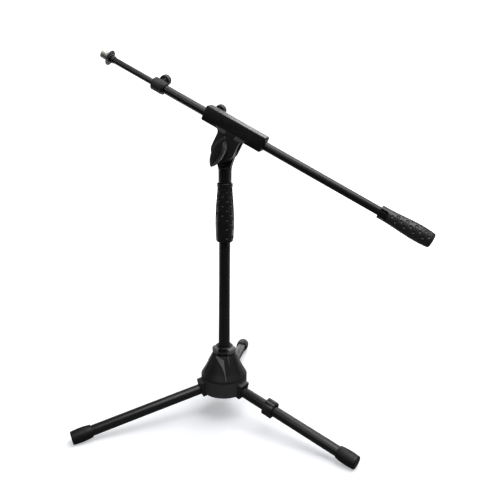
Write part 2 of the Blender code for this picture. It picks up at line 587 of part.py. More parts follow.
def build_knob(name, offset, base, screw_tip):
    """Knob and its screw, standing out behind the boom and a little upwards."""
    place = (offset, 0, BOOM_OFFSET)
    make_object(name, turned(knob_profile(base, KNOB_RADIUS, 0.0120)), CLAMP, HARD_PLASTIC, place, KNOB_AXIS)
    end = base + 0.0067
    screw = [(0, end), (KNOB_SCREW_RADIUS, end), (KNOB_SCREW_RADIUS, screw_tip + 0.0010),
             (KNOB_SCREW_RADIUS - 0.0010, screw_tip), (0, screw_tip)]
    make_object(f"{name}_screw", turned(screw, SMALL_STEPS), CLAMP, ZINC_STEEL, place, KNOB_AXIS)


# ---------------------------------------------------------------- boom
def build_boom():
    outer = make_object("boom_outer_tube", turned(tube_profile(BOOM_RADIUS, BOOM_WALL, BOOM_FRONT, BOOM_REAR)),
                        BOOM_AXIS, POWDER_COAT)
    cut(outer, screw_hole(), CLAMP, (EXTENSION_KNOB_OFFSET, 0, BOOM_OFFSET), KNOB_AXIS)
    make_object("boom_inner_tube",
                turned(tube_profile(INNER_BOOM_RADIUS, INNER_BOOM_WALL, INNER_BOOM_FRONT, INNER_BOOM_REAR)),
                BOOM_AXIS, POWDER_COAT)
    guide = BOOM_RADIUS - BOOM_WALL - FIT_GAP
    stub = INNER_BOOM_RADIUS - INNER_BOOM_WALL - FIT_GAP
    rear = INNER_BOOM_REAR
    plug = [(0, rear + 0.0090), (guide, rear + 0.0090), (guide, rear + FIT_GAP), (stub, rear + FIT_GAP),
            (stub, rear - 0.0100), (0, rear - 0.0100)]
    make_object("boom_guide_plug", turned(plug), BOOM_AXIS, LINER_PLASTIC)
    liner = ring_profile(guide, INNER_BOOM_RADIUS + FIT_GAP, BOOM_FRONT, BOOM_FRONT + 0.0300)
    make_object("extension_liner", turned(liner), BOOM_AXIS, LINER_PLASTIC)


def build_extension_collar():
    over_tube = BOOM_RADIUS + FIT_GAP
    over_inner = INNER_BOOM_RADIUS + FIT_GAP
    step = BOOM_FRONT - FIT_GAP
    profile = [
        (over_tube, COLLAR_REAR), (0.0106, COLLAR_REAR), (0.0111, COLLAR_REAR - 0.0006),
        (0.0111, COLLAR_REAR - 0.0030), (COLLAR_RADIUS, COLLAR_REAR - 0.0034),
        (COLLAR_RADIUS, COLLAR_FRONT + 0.0016), (COLLAR_RADIUS - 0.0016, COLLAR_FRONT),
        (over_inner, COLLAR_FRONT), (over_inner, step), (over_tube, step),
    ]
    collar = make_object("extension_collar", turned(profile), BOOM_AXIS, HARD_PLASTIC)
    boss = [(0, 0.0205), (0.0050, 0.0205), (0.0058, 0.0150), (0.0058, 0.0095), (0, 0.0095)]
    knob_place = (EXTENSION_KNOB_OFFSET, 0, BOOM_OFFSET)
    add(collar, turned(boss, 16), CLAMP, knob_place, KNOB_AXIS)
    cut(collar, screw_hole(), CLAMP, knob_place, KNOB_AXIS)


def build_boom_tip():
    ferrule = ring_profile(0.0066, INNER_BOOM_RADIUS + FIT_GAP, INNER_BOOM_FRONT - 0.0004, -0.2475, 0.0004)
    make_object("boom_tip_ferrule", turned(ferrule), BOOM_AXIS, BLACK_STEEL)
    stub = INNER_BOOM_RADIUS - INNER_BOOM_WALL - FIT_GAP
    shoulder = INNER_BOOM_FRONT - 0.0007
    stud = [(0, STUD_TIP), (STUD_RADIUS - 0.0012, STUD_TIP), (STUD_RADIUS, STUD_TIP + 0.0012),
            (STUD_RADIUS, shoulder), (stub, shoulder), (stub, -0.2300), (0, -0.2300)]
    make_object("mic_stud", turned(stud[::-1]), BOOM_AXIS, NICKEL)
    flange = ring_profile(FLANGE_RADIUS, STUD_RADIUS + FIT_GAP, FLANGE_FRONT, FLANGE_REAR, 0.0005)
    make_object("lock_flange", turned(flange, FINE_STEPS), BOOM_AXIS, HARD_PLASTIC)


def build_boom_grip():
    """Moulded grip on the boom's rear end, with two prongs at its front."""
    bore = BOOM_RADIUS + FIT_GAP
    blind = BOOM_REAR + FIT_GAP
    end = BOOM_GRIP_END
    profile = [
        (0, end), (0.0100, end), (0.0120, end - 0.0007), (0.0132, end - 0.0026), (0.0138, end - 0.0070),
        (0.0143, end - 0.0150), (0.0147, 0.3540), (0.0145, 0.3440), (0.0139, 0.3330), (0.0130, 0.3200),
        (0.0120, 0.3050), (0.0118, CROWN_REAR), (0.0118, CROWN_FRONT + 0.0006), (0.0112, CROWN_FRONT),
        (0.0093, CROWN_FRONT), (0.0093, CROWN_REAR), (bore, CROWN_REAR), (bore, blind), (0, blind),
    ]
    grip = make_object("boom_grip", turned(profile, FINE_STEPS), BOOM_AXIS, SOFT_GRIP)
    gap_half = 0.0082
    outline = [(CROWN_FRONT - 0.01, -gap_half), (CROWN_REAR - 0.004, -gap_half)]
    outline += arc(0.004, -math.pi / 2, 0, 4, (CROWN_REAR - 0.004, -gap_half + 0.004))
    outline += arc(0.004, 0, math.pi / 2, 4, (CROWN_REAR - 0.004, gap_half - 0.004))
    outline += [(CROWN_REAR - 0.004, gap_half), (CROWN_FRONT - 0.01, gap_half)]
    cut(grip, prism(outline, -0.02, 0.02), CLAMP, location=(0, 0, BOOM_OFFSET), rotation=UPRIGHT_FROM_PLAN)


# ---------------------------------------------------------------- assembly
def centre_footprint():
    """Shifts the stand so that its bounding box is centred on the origin and stands on the floor."""
    bpy.context.view_layer.update()
    graph = bpy.context.evaluated_depsgraph_get()
    corners = []
    for obj in bpy.context.scene.objects:
        if obj.type != "MESH" or obj.hide_render:
            continue
        shape = obj.evaluated_get(graph)
        corners += [shape.matrix_world @ Vector(vert.co) for vert in shape.data.vertices]
    low = [min(corner[i] for corner in corners) for i in range(3)]
    high = [max(corner[i] for corner in corners) for i in range(3)]
    STAND.location = (-(low[0] + high[0]) / 2, -(low[1] + high[1]) / 2, -low[2])


build_hub()
build_hub_bushing()
build_base_fastener()
for leg_side in LEG_YAWS:
    build_leg(leg_side)
build_leg_clip()
build_column()
build_clutch()
build_head()
build_clamp()
build_clamp_liner()
build_tilt_joint()
build_tilt_handle()
build_knob("clamp_knob", CLAMP_KNOB_OFFSET, CLAMP_KNOB_BASE, BOOM_RADIUS + FIT_GAP)
build_knob("extension_knob", EXTENSION_KNOB_OFFSET, EXTENSION_KNOB_BASE, BOOM_RADIUS - BOOM_WALL)
build_boom()
build_extension_collar()
build_boom_tip()
build_boom_grip()
centre_footprint()
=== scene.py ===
"""Looks of the low boom microphone stand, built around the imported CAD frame. Metres, +Z up."""

import math

import bmesh
import bpy
import numpy as np
from mathutils import Matrix, Vector


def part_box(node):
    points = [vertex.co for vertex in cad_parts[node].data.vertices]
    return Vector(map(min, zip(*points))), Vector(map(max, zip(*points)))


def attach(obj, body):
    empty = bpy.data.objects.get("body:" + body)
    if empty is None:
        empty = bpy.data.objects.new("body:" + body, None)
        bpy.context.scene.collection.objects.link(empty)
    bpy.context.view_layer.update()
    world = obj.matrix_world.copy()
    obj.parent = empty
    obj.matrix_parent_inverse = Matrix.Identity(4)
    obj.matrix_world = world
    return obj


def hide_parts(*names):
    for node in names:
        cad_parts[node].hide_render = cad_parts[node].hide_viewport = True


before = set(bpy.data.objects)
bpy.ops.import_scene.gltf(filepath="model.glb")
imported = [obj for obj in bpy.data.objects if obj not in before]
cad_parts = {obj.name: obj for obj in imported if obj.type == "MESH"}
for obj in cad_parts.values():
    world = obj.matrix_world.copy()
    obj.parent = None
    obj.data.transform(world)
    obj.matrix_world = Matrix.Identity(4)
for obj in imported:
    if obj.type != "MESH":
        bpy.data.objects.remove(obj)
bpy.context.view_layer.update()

# ---------------------------------------------------------------- dimensions of the stand
HUB_SKIRT_RADIUS = 0.0440
HUB_BOTTOM = 0.0572
HUB_SHOULDER = 0.0885
HUB_CONE_TOP = 0.1330
HUB_TOP = 0.1465
HUB_COLLAR_RADIUS = 0.0222
HUB_BOSS_RADIUS = 0.0180
LEG_YAWS = {"right": -21.1, "back": 98.9, "left": -141.1}
LEG_PIVOT = (0.0300, 0.0678)        # radius and height of the pivot bolt
LEG_END = (0.2921, 0.0140)
FLOOR_HEIGHT = 0.0028
LEG_TUBE_RADIUS = 0.0098
FOOT_LENGTH = 0.0370
KNUCKLE_HALF_WIDTH = 0.0120
COLUMN_RADIUS = 0.0106
COLUMN_BOTTOM = 0.0590
COLUMN_TOP = 0.4530
INNER_COLUMN_RADIUS = 0.0082
GRIP_BOTTOM = 0.3540
CLUTCH_SLEEVE_RADIUS = 0.0124
HEAD_SOCKET_RADIUS = 0.0117
TILT_HEIGHT = 0.5202
TILT_ANGLE = math.radians(26.2)
BOOM_OFFSET = 0.0396
BLOCK_HALF_LENGTH = 0.0590
BLOCK_HALF_WIDTH = 0.0130
BLOCK_HALF_HEIGHT = 0.0133
BLOCK_RISE = 0.0014
BOOM_RADIUS = 0.0077
BOOM_FRONT = -0.1650
BOOM_REAR = 0.3770
INNER_BOOM_RADIUS = 0.0055
KNOB_LIFT = math.radians(13.0)
CLAMP_KNOB_PLACE = -0.0463          # along the boom, from the tilt bolt
EXTENSION_KNOB_PLACE = -0.1593
KNOB_SCREW_BORE = 0.0033
TILT_BORE = 0.0043
FIT_GAP = 0.0003

# ---------------------------------------------------------------- frames
column_low, column_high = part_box("column_outer_tube")
STAND = Matrix.Translation(((column_low.x + column_high.x) / 2, (column_low.y + column_high.y) / 2,
                            column_low.z - COLUMN_BOTTOM))


def turn(degrees, axis):
    return Matrix.Rotation(math.radians(degrees), 4, axis)


def shift(x, y, z):
    return Matrix.Translation((x, y, z))


LEG_RUN = LEG_END[0] - LEG_PIVOT[0]
LEG_DROP = LEG_PIVOT[1] - LEG_END[1]
LEG_LENGTH = math.hypot(LEG_RUN, LEG_DROP)
LEG_SLOPE = math.degrees(math.atan2(LEG_DROP, LEG_RUN))
LEG_FRAMES = {side: STAND @ turn(yaw, "Z") @ shift(LEG_PIVOT[0], 0, LEG_PIVOT[1]) @ turn(LEG_SLOPE, "Y")
              for side, yaw in LEG_YAWS.items()}
CLAMP = STAND @ shift(0, 0, TILT_HEIGHT) @ Matrix.Rotation(TILT_ANGLE, 4, "Y")
BOOM = CLAMP @ shift(0, 0, BOOM_OFFSET) @ turn(90, "Y")
KNOB_TURN = Matrix.Rotation(KNOB_LIFT - math.pi / 2, 4, "X")
PLAN_UPRIGHT = turn(90, "X")


# ---------------------------------------------------------------- materials
def new_material(name, colour, roughness, metallic=0.0):
    material = bpy.data.materials.new(name)
    material.use_nodes = True
    shader = material.node_tree.nodes["Principled BSDF"]
    shader.inputs["Base Color"].default_value = (*colour, 1)
    shader.inputs["Roughness"].default_value = roughness
    shader.inputs["Metallic"].default_value = metallic
    return material, shader


def noise(tree, scale, detail):
    where = tree.nodes.new("ShaderNodeTexCoord")
    texture = tree.nodes.new("ShaderNodeTexNoise")
    texture.inputs["Scale"].default_value = scale
    texture.inputs["Detail"].default_value = detail
    tree.links.new(where.outputs["Object"], texture.inputs["Vector"])
    return texture.outputs["Fac"]


def remap(tree, source, low, high, start=0.35, end=0.65):
    node = tree.nodes.new("ShaderNodeMapRange")
    node.inputs["From Min"].default_value = start
    node.inputs["From Max"].default_value = end
    node.inputs["To Min"].default_value = low
    node.inputs["To Max"].default_value = high
    tree.links.new(source, node.inputs["Value"])
    return node.outputs["Result"]


def blend_colours(tree, factor, first, second):
    ramp = tree.nodes.new("ShaderNodeValToRGB")
    ramp.color_ramp.elements[0].color = (*first, 1)
    ramp.color_ramp.elements[1].color = (*second, 1)
    tree.links.new(factor, ramp.inputs["Fac"])
    return ramp.outputs["Color"]


def bump(tree, shader, source, strength, distance, chain=None):
    node = tree.nodes.new("ShaderNodeBump")
    node.inputs["Strength"].default_value = strength
    node.inputs["Distance"].default_value = distance
    tree.links.new(source, node.inputs["Height"])
    if chain:
        tree.links.new(chain, node.inputs["Normal"])
    tree.links.new(node.outputs["Normal"], shader.inputs["Normal"])
    return node.outputs["Normal"]


def worn_edges(tree, material_colour, edge_colour):
    """Mixes a paler colour in where the surface turns sharply outwards."""
    geometry = tree.nodes.new("ShaderNodeNewGeometry")
    edge = remap(tree, geometry.outputs["Pointiness"], 0.0, 1.0, 0.54, 0.62)
    mix = tree.nodes.new("ShaderNodeMix")
    mix.data_type = "RGBA"
    mix.inputs["B"].default_value = (*edge_colour, 1)
    tree.links.new(edge, mix.inputs["Factor"])
    tree.links.new(material_colour, mix.inputs["A"])
    return mix.outputs["Result"]


def coated(name, dark, pale, rough, grain_scale, grain, coat=0.0, metallic=0.0, edge=None, shine=0.5):
    """A black coating or moulding: cloudy colour, uneven gloss, a fine grain and paler edges."""
    material, shader = new_material(name, dark, sum(rough) / 2, metallic)
    tree = material.node_tree
    clouds = noise(tree, 45.0, 4.0)
    colour = blend_colours(tree, clouds, dark, pale)
    if edge:
        colour = worn_edges(tree, colour, edge)
    tree.links.new(colour, shader.inputs["Base Color"])
    gloss = noise(tree, 130.0, 5.0)
    tree.links.new(remap(tree, gloss, *rough), shader.inputs["Roughness"])
    normal = bump(tree, shader, noise(tree, grain_scale, 2.0), grain, 0.0004)
    bump(tree, shader, noise(tree, 260.0, 2.0), grain * 0.5, 0.0008, normal)
    shader.inputs["Specular IOR Level"].default_value = shine
    shader.inputs["Coat Weight"].default_value = coat
    shader.inputs["Coat Roughness"].default_value = 0.22
    return material


POWDER_COAT = coated("powder_coat", (0.0085, 0.0085, 0.009), (0.0130, 0.0130, 0.0135), (0.30, 0.38), 1500, 0.06,
                     coat=0.05, edge=(0.05, 0.05, 0.052), shine=0.42)
CAST_COAT = coated("cast_coat", (0.0055, 0.0055, 0.0058), (0.0090, 0.0090, 0.0095), (0.33, 0.41), 1100, 0.05,
                   edge=(0.06, 0.06, 0.062), shine=0.44)
MOULDED = coated("moulded_plastic", (0.0085, 0.0085, 0.009), (0.0135, 0.0135, 0.0143), (0.36, 0.48), 1300, 0.16,
                 edge=(0.045, 0.045, 0.047), shine=0.36)
SOFT_GRIP = coated("soft_grip_rubber", (0.0110, 0.0110, 0.0117), (0.0165, 0.0165, 0.0175), (0.28, 0.36), 1700, 0.05,
                   edge=(0.05, 0.05, 0.053), shine=0.34)
BOOM_GRIP_RUBBER = coated("boom_grip_rubber", (0.0240, 0.0240, 0.0250), (0.0340, 0.0340, 0.0355), (0.28, 0.37), 1700,
                          0.08, edge=(0.07, 0.07, 0.073))
FOOT_RUBBER = coated("foot_rubber", (0.0050, 0.0050, 0.0054), (0.0090, 0.0090, 0.0094), (0.42, 0.54), 900, 0.22,
                     edge=(0.045, 0.045, 0.046), shine=0.36)
KNOB_PLASTIC = coated("knob_plastic", (0.0500, 0.0500, 0.0515), (0.0700, 0.0700, 0.0720), (0.34, 0.44), 1300, 0.12,
                      edge=(0.14, 0.14, 0.142))
LINER = coated("liner_plastic", (0.05, 0.05, 0.053), (0.075, 0.075, 0.078), (0.4, 0.5), 900, 0.1)


def bright_metal(name, colour, rough, brushed):
    material, shader = new_material(name, colour, rough[0], 1.0)
    tree = material.node_tree
    clouds = noise(tree, 160.0, 4.0)
    darker = tuple(channel * 0.72 for channel in colour)
    tree.links.new(blend_colours(tree, clouds, darker, colour), shader.inputs["Base Color"])
    tree.links.new(remap(tree, noise(tree, 420.0, 4.0), *rough), shader.inputs["Roughness"])
    bump(tree, shader, noise(tree, brushed, 2.0), 0.12, 0.0002)
    return material


NICKEL = bright_metal("nickel_plate", (0.84, 0.82, 0.77), (0.36, 0.48), 1600)
ZINC = bright_metal("zinc_plate", (0.55, 0.56, 0.58), (0.30, 0.45), 1200)
DARK_STEEL = coated("dark_steel", (0.020, 0.020, 0.021), (0.04, 0.04, 0.041), (0.32, 0.45), 1400, 0.15,
                    metallic=0.6, edge=(0.12, 0.12, 0.12))


# ---------------------------------------------------------------- mesh tools
SMOOTH_ANGLE = 38
FILLET_STEPS = 4


def smooth(obj, angle=SMOOTH_ANGLE):
    obj.data.shade_smooth()
    obj.data.set_sharp_from_angle(angle=math.radians(angle))
    return obj


def object_from(name, shape, place, material):
    bmesh.ops.remove_doubles(shape, verts=shape.verts, dist=1e-7)
    bmesh.ops.recalc_face_normals(shape, faces=shape.faces)
    mesh = bpy.data.meshes.new(name)
    shape.to_mesh(mesh)
    shape.free()
    mesh.transform(place)
    mesh.materials.append(material)
    obj = bpy.data.objects.new(name, mesh)
    bpy.context.scene.collection.objects.link(obj)
    return smooth(obj)


def piece(obj, body, slot, *nodes):
    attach(obj, body)
    if nodes:
        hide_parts(*nodes)
    return obj


def grid_shape(points, closed_down=True):
    """A surface through points[row][column][xyz], closed round the columns and, if asked, round the rows."""
    shape = bmesh.new()
    rows = [[shape.verts.new(point) for point in row] for row in points]
    pairs = list(zip(rows, rows[1:]))
    if closed_down:
        pairs.append((rows[-1], rows[0]))
    for first, second in pairs:
        for i, vert in enumerate(first):
            j = (i + 1) % len(first)
            shape.faces.new((vert, first[j], second[j], second[i]))
    return shape


def fillet(profile, radius, closed=True):
    """Rounds the corners of a polyline of (radius, height) points; a third value gives a corner its own radius."""
    count = len(profile)
    out = []
    for i, corner in enumerate(profile):
        here = Vector(corner[:2])
        own = corner[2] if len(corner) > 2 else radius
        if own <= 0 or (not closed and i in (0, count - 1)):
            out.append(tuple(here))
            continue
        before = Vector(profile[i - 1][:2]) - here
        after = Vector(profile[(i + 1) % count][:2]) - here
        if before.length < 1e-9 or after.length < 1e-9:
            continue
        angle = before.angle(after)
        if angle > math.radians(172):
            out.append(tuple(here))
            continue
        reach = min(own / math.tan(angle / 2), before.length * 0.48, after.length * 0.48)
        start = here + before.normalized() * reach
        end = here + after.normalized() * reach
        for k in range(FILLET_STEPS + 1):
            t = k / FILLET_STEPS
            out.append(tuple(start * (1 - t) ** 2 + here * 2 * t * (1 - t) + end * t ** 2))
    return out


def refine(profile, step, closed=True):
    """Adds points so that no stretch of the profile is longer than step."""
    out = []
    ends = profile[1:] + profile[:1] if closed else profile[1:]
    for start, end in zip(profile, ends):
        pieces = max(1, math.ceil(math.dist(start, end) / step))
        for k in range(pieces):
            t = k / pieces
            out.append((start[0] + (end[0] - start[0]) * t, start[1] + (end[1] - start[1]) * t))
    if not closed:
        out.append(profile[-1])
    return out


def lathe_shape(profile, steps=96, surface=None):
    """A solid turned round Z. surface(radius, angle, height) may move a point: it returns the new radius."""
    on_axis = profile[0][0] == 0 and profile[-1][0] == 0
    angles = np.arange(steps) * 2 * math.pi / steps
    rows = []
    for radius, height in profile:
        radii = np.full(steps, radius)
        if surface is not None and radius > 0:
            radii = surface(radius, angles, height)
        rows.append(np.stack([radii * np.cos(angles), radii * np.sin(angles), np.full(steps, height)], 1))
    return grid_shape(rows, closed_down=not on_axis)


def lathe(name, profile, place, material, body, slot, nodes, radius=0.0005, steps=96, surface=None, step=None):
    on_axis = profile[0][0] == 0 and profile[-1][0] == 0
    rounded = fillet(profile, radius, closed=not on_axis)
    if step:
        rounded = refine(rounded, step, closed=not on_axis)
    obj = object_from(name, lathe_shape(rounded, steps, surface), place, material)
    return piece(obj, body, slot, *nodes)


def tube(name, outer, wall, low, high, place, material, body, slot, nodes):
    profile = [(outer, high), (outer, low), (outer - wall, low), (outer - wall, high)]
    return lathe(name, profile, place, material, body, slot, nodes, radius=0.0004)


def prism_shape(outline, low, high):
    shape = bmesh.new()
    base = shape.faces.new([shape.verts.new((x, y, low)) for x, y in outline])
    raised = bmesh.ops.extrude_face_region(shape, geom=[base])
    moved = [item for item in raised["geom"] if isinstance(item, bmesh.types.BMVert)]
    bmesh.ops.translate(shape, verts=moved, vec=(0, 0, high - low))
    return shape


def arc(radius, start, end, steps, centre=(0.0, 0.0)):
    angles = np.radians(np.linspace(start, end, steps))
    return [(centre[0] + radius * math.cos(a), centre[1] + radius * math.sin(a)) for a in angles]


def helper(name, shape, place):
    obj = object_from(name, shape, place, MOULDED)
    obj.hide_render = True
    return obj


def boolean(obj, other, operation):
    modifier = obj.modifiers.new(operation, "BOOLEAN")
    modifier.operation = operation
    modifier.solver = "EXACT"
    modifier.object = other


BEVEL_SEGMENTS = 2
BEVEL_ANGLE = 50


def bevel(obj, width):
    modifier = obj.modifiers.new("Bevel", "BEVEL")
    modifier.width = width
    modifier.segments = BEVEL_SEGMENTS
    modifier.limit_method = "ANGLE"
    modifier.angle_limit = math.radians(BEVEL_ANGLE)
    modifier.harden_normals = False


def settle(obj):
    """Applies the modifiers and removes the helpers that they used."""
    used = [modifier.object for modifier in obj.modifiers if modifier.type == "BOOLEAN"]
    graph = bpy.context.evaluated_depsgraph_get()
    mesh = bpy.data.meshes.new_from_object(obj.evaluated_get(graph))
    obj.modifiers.clear()
    old = obj.data
    obj.data = mesh
    bpy.data.meshes.remove(old)
    for other in used:
        bpy.data.objects.remove(other, do_unlink=True)
    return smooth(obj)


# ---------------------------------------------------------------- hub
SECTOR = 120.0
CAMERA_AZIMUTH = -72.0
# Places within a sector, in degrees round from the leg, and shares of the cone's rise.
BAND_EDGE, BAND_SWEEP = 72.0, 55.0
BAND_NEAR, BAND_LEAN = 77.0, 10.0
BAND_TURN, BAND_TURN_RISE = 30.0, 0.86
RIB_AT = 89.0
GAP_AT = 63.0
PANEL_DEPTH = 0.0013
RIB_LOW = 0.1120
CONE_TOP_RADIUS = 0.0195
COLLAR_GAP_RADIUS = 0.0168
COLLAR_GAP_LOW = 0.1402


def ease(value):
    value = np.clip(value, 0, 1)
    return value * value * (3 - 2 * value)


def hub_surface(radius, angles, height):
    """Three-fold relief: curved panels with a sweeping band between them, lobes on the collar, a thin rib above."""
    part = np.mod(np.degrees(angles) - LEG_YAWS["left"], SECTOR)
    radii = np.full(len(angles), radius)
    if radius > COLLAR_GAP_RADIUS and height > COLLAR_GAP_LOW:
        radii = COLLAR_GAP_RADIUS + (radius - COLLAR_GAP_RADIUS) * ease((np.abs(part - GAP_AT) - 27.0) / 4.0)
    if HUB_SHOULDER - 0.002 < height < HUB_CONE_TOP + 0.001 and radius > CONE_TOP_RADIUS:
        rise = (height - HUB_SHOULDER) / (HUB_CONE_TOP - HUB_SHOULDER)
        edge = BAND_EDGE - BAND_SWEEP * np.clip(rise, 0, 1) ** 3
        turned = np.clip((rise - BAND_TURN_RISE) / (1 - BAND_TURN_RISE), 0, 1)
        near = BAND_NEAR - BAND_LEAN * rise - BAND_TURN * turned
        depth = PANEL_DEPTH * ease((rise - 0.02) / 0.30) * ease((1.02 - rise) / 0.05)
        left = ease((edge - part) / 1.6)
        ramp = np.where(part < near, np.clip((near - part) / np.maximum(near - edge, 8.0), 0, 1) * (1 - left), 0)
        right = ease((part - near) / 1.6) * ease((118.4 - part) / 1.6)
        radii = radii - depth * (left + 0.55 * ramp + right)
    if height > RIB_LOW and radius > CONE_TOP_RADIUS:
        rib = np.clip(1 - np.abs(part - RIB_AT) / 1.6, 0, 1)
        radii = radii + 0.0010 * np.sqrt(rib) * min(1.0, (height - RIB_LOW) / 0.003)
    return radii


def build_hub():
    bore, seat = COLUMN_RADIUS + FIT_GAP, 0.0153
    outside = [
        (seat, HUB_TOP), (0.0188, HUB_TOP, 0.0008), (0.0219, HUB_TOP - 0.0014, 0.0022),
        (HUB_COLLAR_RADIUS + 0.0003, HUB_TOP - 0.0050, 0.0024), (HUB_COLLAR_RADIUS, 0.1364, 0.0012),
        (0.0202, 0.1340, 0.0006), (0.0212, HUB_CONE_TOP, 0.0008), (0.0238, HUB_CONE_TOP - 0.0022, 0.0010),
        (HUB_SKIRT_RADIUS - 0.0002, HUB_SHOULDER + 0.0010, 0.0030), (HUB_SKIRT_RADIUS, HUB_BOTTOM + 0.0002, 0.0008),
        (HUB_SKIRT_RADIUS - 0.0022, HUB_BOTTOM, 0.0006), (bore, HUB_BOTTOM), (bore, 0.1357), (seat, 0.1357),
    ]
    profile = refine(fillet(outside, 0.0003), 0.0011)
    hub = object_from("hub", lathe_shape(profile, 240, hub_surface), STAND, HUB_PLASTIC)
    half = KNUCKLE_HALF_WIDTH + FIT_GAP
    inner = HUB_BOSS_RADIUS - LEG_PIVOT[0]
    slot = [(inner, -half), (0.030, -half), (0.030, half), (inner, half)]
    cheek = half + 0.0040
    outer, core = HUB_SKIRT_RADIUS - 0.0038, HUB_BOSS_RADIUS + 0.0010
    reach = [SECTOR / 2 - math.degrees(math.asin(cheek / r)) for r in (outer, core)]
    pocket = arc(outer, -reach[0], reach[0], 15) + arc(core, reach[1], -reach[1], 3)
    for side, yaw in LEG_YAWS.items():
        boolean(hub, helper(f"slot_{side}", prism_shape(slot, -0.050, 0.0168), LEG_FRAMES[side]), "DIFFERENCE")
        place = STAND @ turn(yaw + SECTOR / 2, "Z")
        boolean(hub, helper(f"pocket_{side}", prism_shape(pocket, 0.040, HUB_SHOULDER - 0.0012), place), "DIFFERENCE")
    settle(hub)
    piece(hub, "base", "hub_plastic", "hub_casting")


def maths(tree, operation, first, second=None, clamp=False):
    node = tree.nodes.new("ShaderNodeMath")
    node.operation = operation
    node.use_clamp = clamp
    for socket, value in zip(node.inputs, (first, second)):
        if isinstance(value, (int, float)):
            socket.default_value = value
        elif value is not None:
            tree.links.new(value, socket)
    return node.outputs[0]


def painted_highlight_mask(tree):
    """Painted highlights: a share that is 1 on the bands, ribs and collar lobes of the hub, where their colour is
    painted paler, and the height above its shoulder.
    """
    where = tree.nodes.new("ShaderNodeTexCoord")
    centred = tree.nodes.new("ShaderNodeVectorMath")
    centred.operation = "SUBTRACT"
    centred.inputs[1].default_value = STAND.translation
    tree.links.new(where.outputs["Object"], centred.inputs[0])
    split = tree.nodes.new("ShaderNodeSeparateXYZ")
    tree.links.new(centred.outputs["Vector"], split.inputs[0])
    azimuth = maths(tree, "MULTIPLY", maths(tree, "ARCTAN2", split.outputs["Y"], split.outputs["X"]), 180 / math.pi)
    part = maths(tree, "MODULO", maths(tree, "ADD", azimuth, 360 - LEG_YAWS["left"]), SECTOR)
    height = maths(tree, "SUBTRACT", split.outputs["Z"], HUB_SHOULDER)
    rise = maths(tree, "DIVIDE", height, HUB_CONE_TOP - HUB_SHOULDER, clamp=True)
    edge = maths(tree, "SUBTRACT", BAND_EDGE, maths(tree, "MULTIPLY", maths(tree, "POWER", rise, 3.0), BAND_SWEEP))
    turned = maths(tree, "DIVIDE", maths(tree, "SUBTRACT", rise, BAND_TURN_RISE), 1 - BAND_TURN_RISE, clamp=True)
    near = maths(tree, "SUBTRACT", maths(tree, "SUBTRACT", BAND_NEAR + 0.5, maths(tree, "MULTIPLY", rise, BAND_LEAN)),
                 maths(tree, "MULTIPLY", turned, BAND_TURN))
    after = maths(tree, "DIVIDE", maths(tree, "SUBTRACT", part, edge), 2.0, clamp=True)
    before = maths(tree, "DIVIDE", maths(tree, "SUBTRACT", near, part), 2.0, clamp=True)
    above = maths(tree, "DIVIDE", maths(tree, "SUBTRACT", rise, 0.04), 0.15, clamp=True)
    below = maths(tree, "DIVIDE", maths(tree, "SUBTRACT", 0.997, rise), 0.01, clamp=True)
    band = maths(tree, "MULTIPLY", maths(tree, "MULTIPLY", after, before), maths(tree, "MULTIPLY", above, below))
    off_rib = maths(tree, "ABSOLUTE", maths(tree, "SUBTRACT", part, RIB_AT))
    rib = maths(tree, "MULTIPLY", maths(tree, "SUBTRACT", 2.2, off_rib, clamp=True),
                maths(tree, "MULTIPLY", maths(tree, "SUBTRACT", rise, 0.55, clamp=True), 2.0, clamp=True))
    off_gap = maths(tree, "ABSOLUTE", maths(tree, "SUBTRACT", part, GAP_AT))
    lobe = maths(tree, "MULTIPLY", maths(tree, "DIVIDE", maths(tree, "SUBTRACT", off_gap, 28.0), 3.0, clamp=True),
                 maths(tree, "DIVIDE", maths(tree, "SUBTRACT", height, 0.0470), 0.002, clamp=True))
    return maths(tree, "MAXIMUM", band, maths(tree, "MAXIMUM", rib, lobe)), height


def hub_material():
    """Grained panels; smoother bands, ribs and lobes painted paler as painted highlights; the lower wall painted
    paler as painted light falling on it; all told apart by where they lie.
    """
    material = coated("hub_plastic", (0.0085, 0.0085, 0.0090), (0.0130, 0.0130, 0.0137), (0.46, 0.56), 1100, 0.14,
                      edge=(0.05, 0.05, 0.053), shine=0.32)
    tree = material.node_tree
    shader = tree.nodes["Principled BSDF"]
    highlight_share, height = painted_highlight_mask(tree)
    colour = shader.inputs["Base Color"].links[0].from_socket
    # Painted light: below the shoulder the wall gets a paler colour that stands in for the light falling on it.
    painted_skirt_light = tree.nodes.new("ShaderNodeMix")
    painted_skirt_light.data_type = "RGBA"
    painted_skirt_light.inputs["B"].default_value = (0.054, 0.054, 0.0556, 1)
    below = maths(tree, "DIVIDE", maths(tree, "SUBTRACT", 0.0, height), 0.003, clamp=True)
    tree.links.new(below, painted_skirt_light.inputs["Factor"])
    tree.links.new(colour, painted_skirt_light.inputs["A"])
    colour = painted_skirt_light.outputs["Result"]
    # Painted highlight: a paler colour on the bands, ribs and collar lobes stands in for the light they catch.
    paler = tree.nodes.new("ShaderNodeMix")
    paler.data_type = "RGBA"
    paler.inputs["B"].default_value = (0.150, 0.150, 0.154, 1)
    tree.links.new(highlight_share, paler.inputs["Factor"])
    tree.links.new(colour, paler.inputs["A"])
    tree.links.new(paler.outputs["Result"], shader.inputs["Base Color"])
    gloss = shader.inputs["Roughness"].links[0].from_socket
    tree.links.new(maths(tree, "SUBTRACT", gloss, maths(tree, "MULTIPLY", highlight_share, 0.16)), shader.inputs["Roughness"])
    return material


HUB_PLASTIC = hub_material()


# ---------------------------------------------------------------- dimpled grips
DIMPLE_RADIUS = 0.0027
DIMPLE_DEPTH = 0.0014
DIMPLE_PITCH = 0.0084


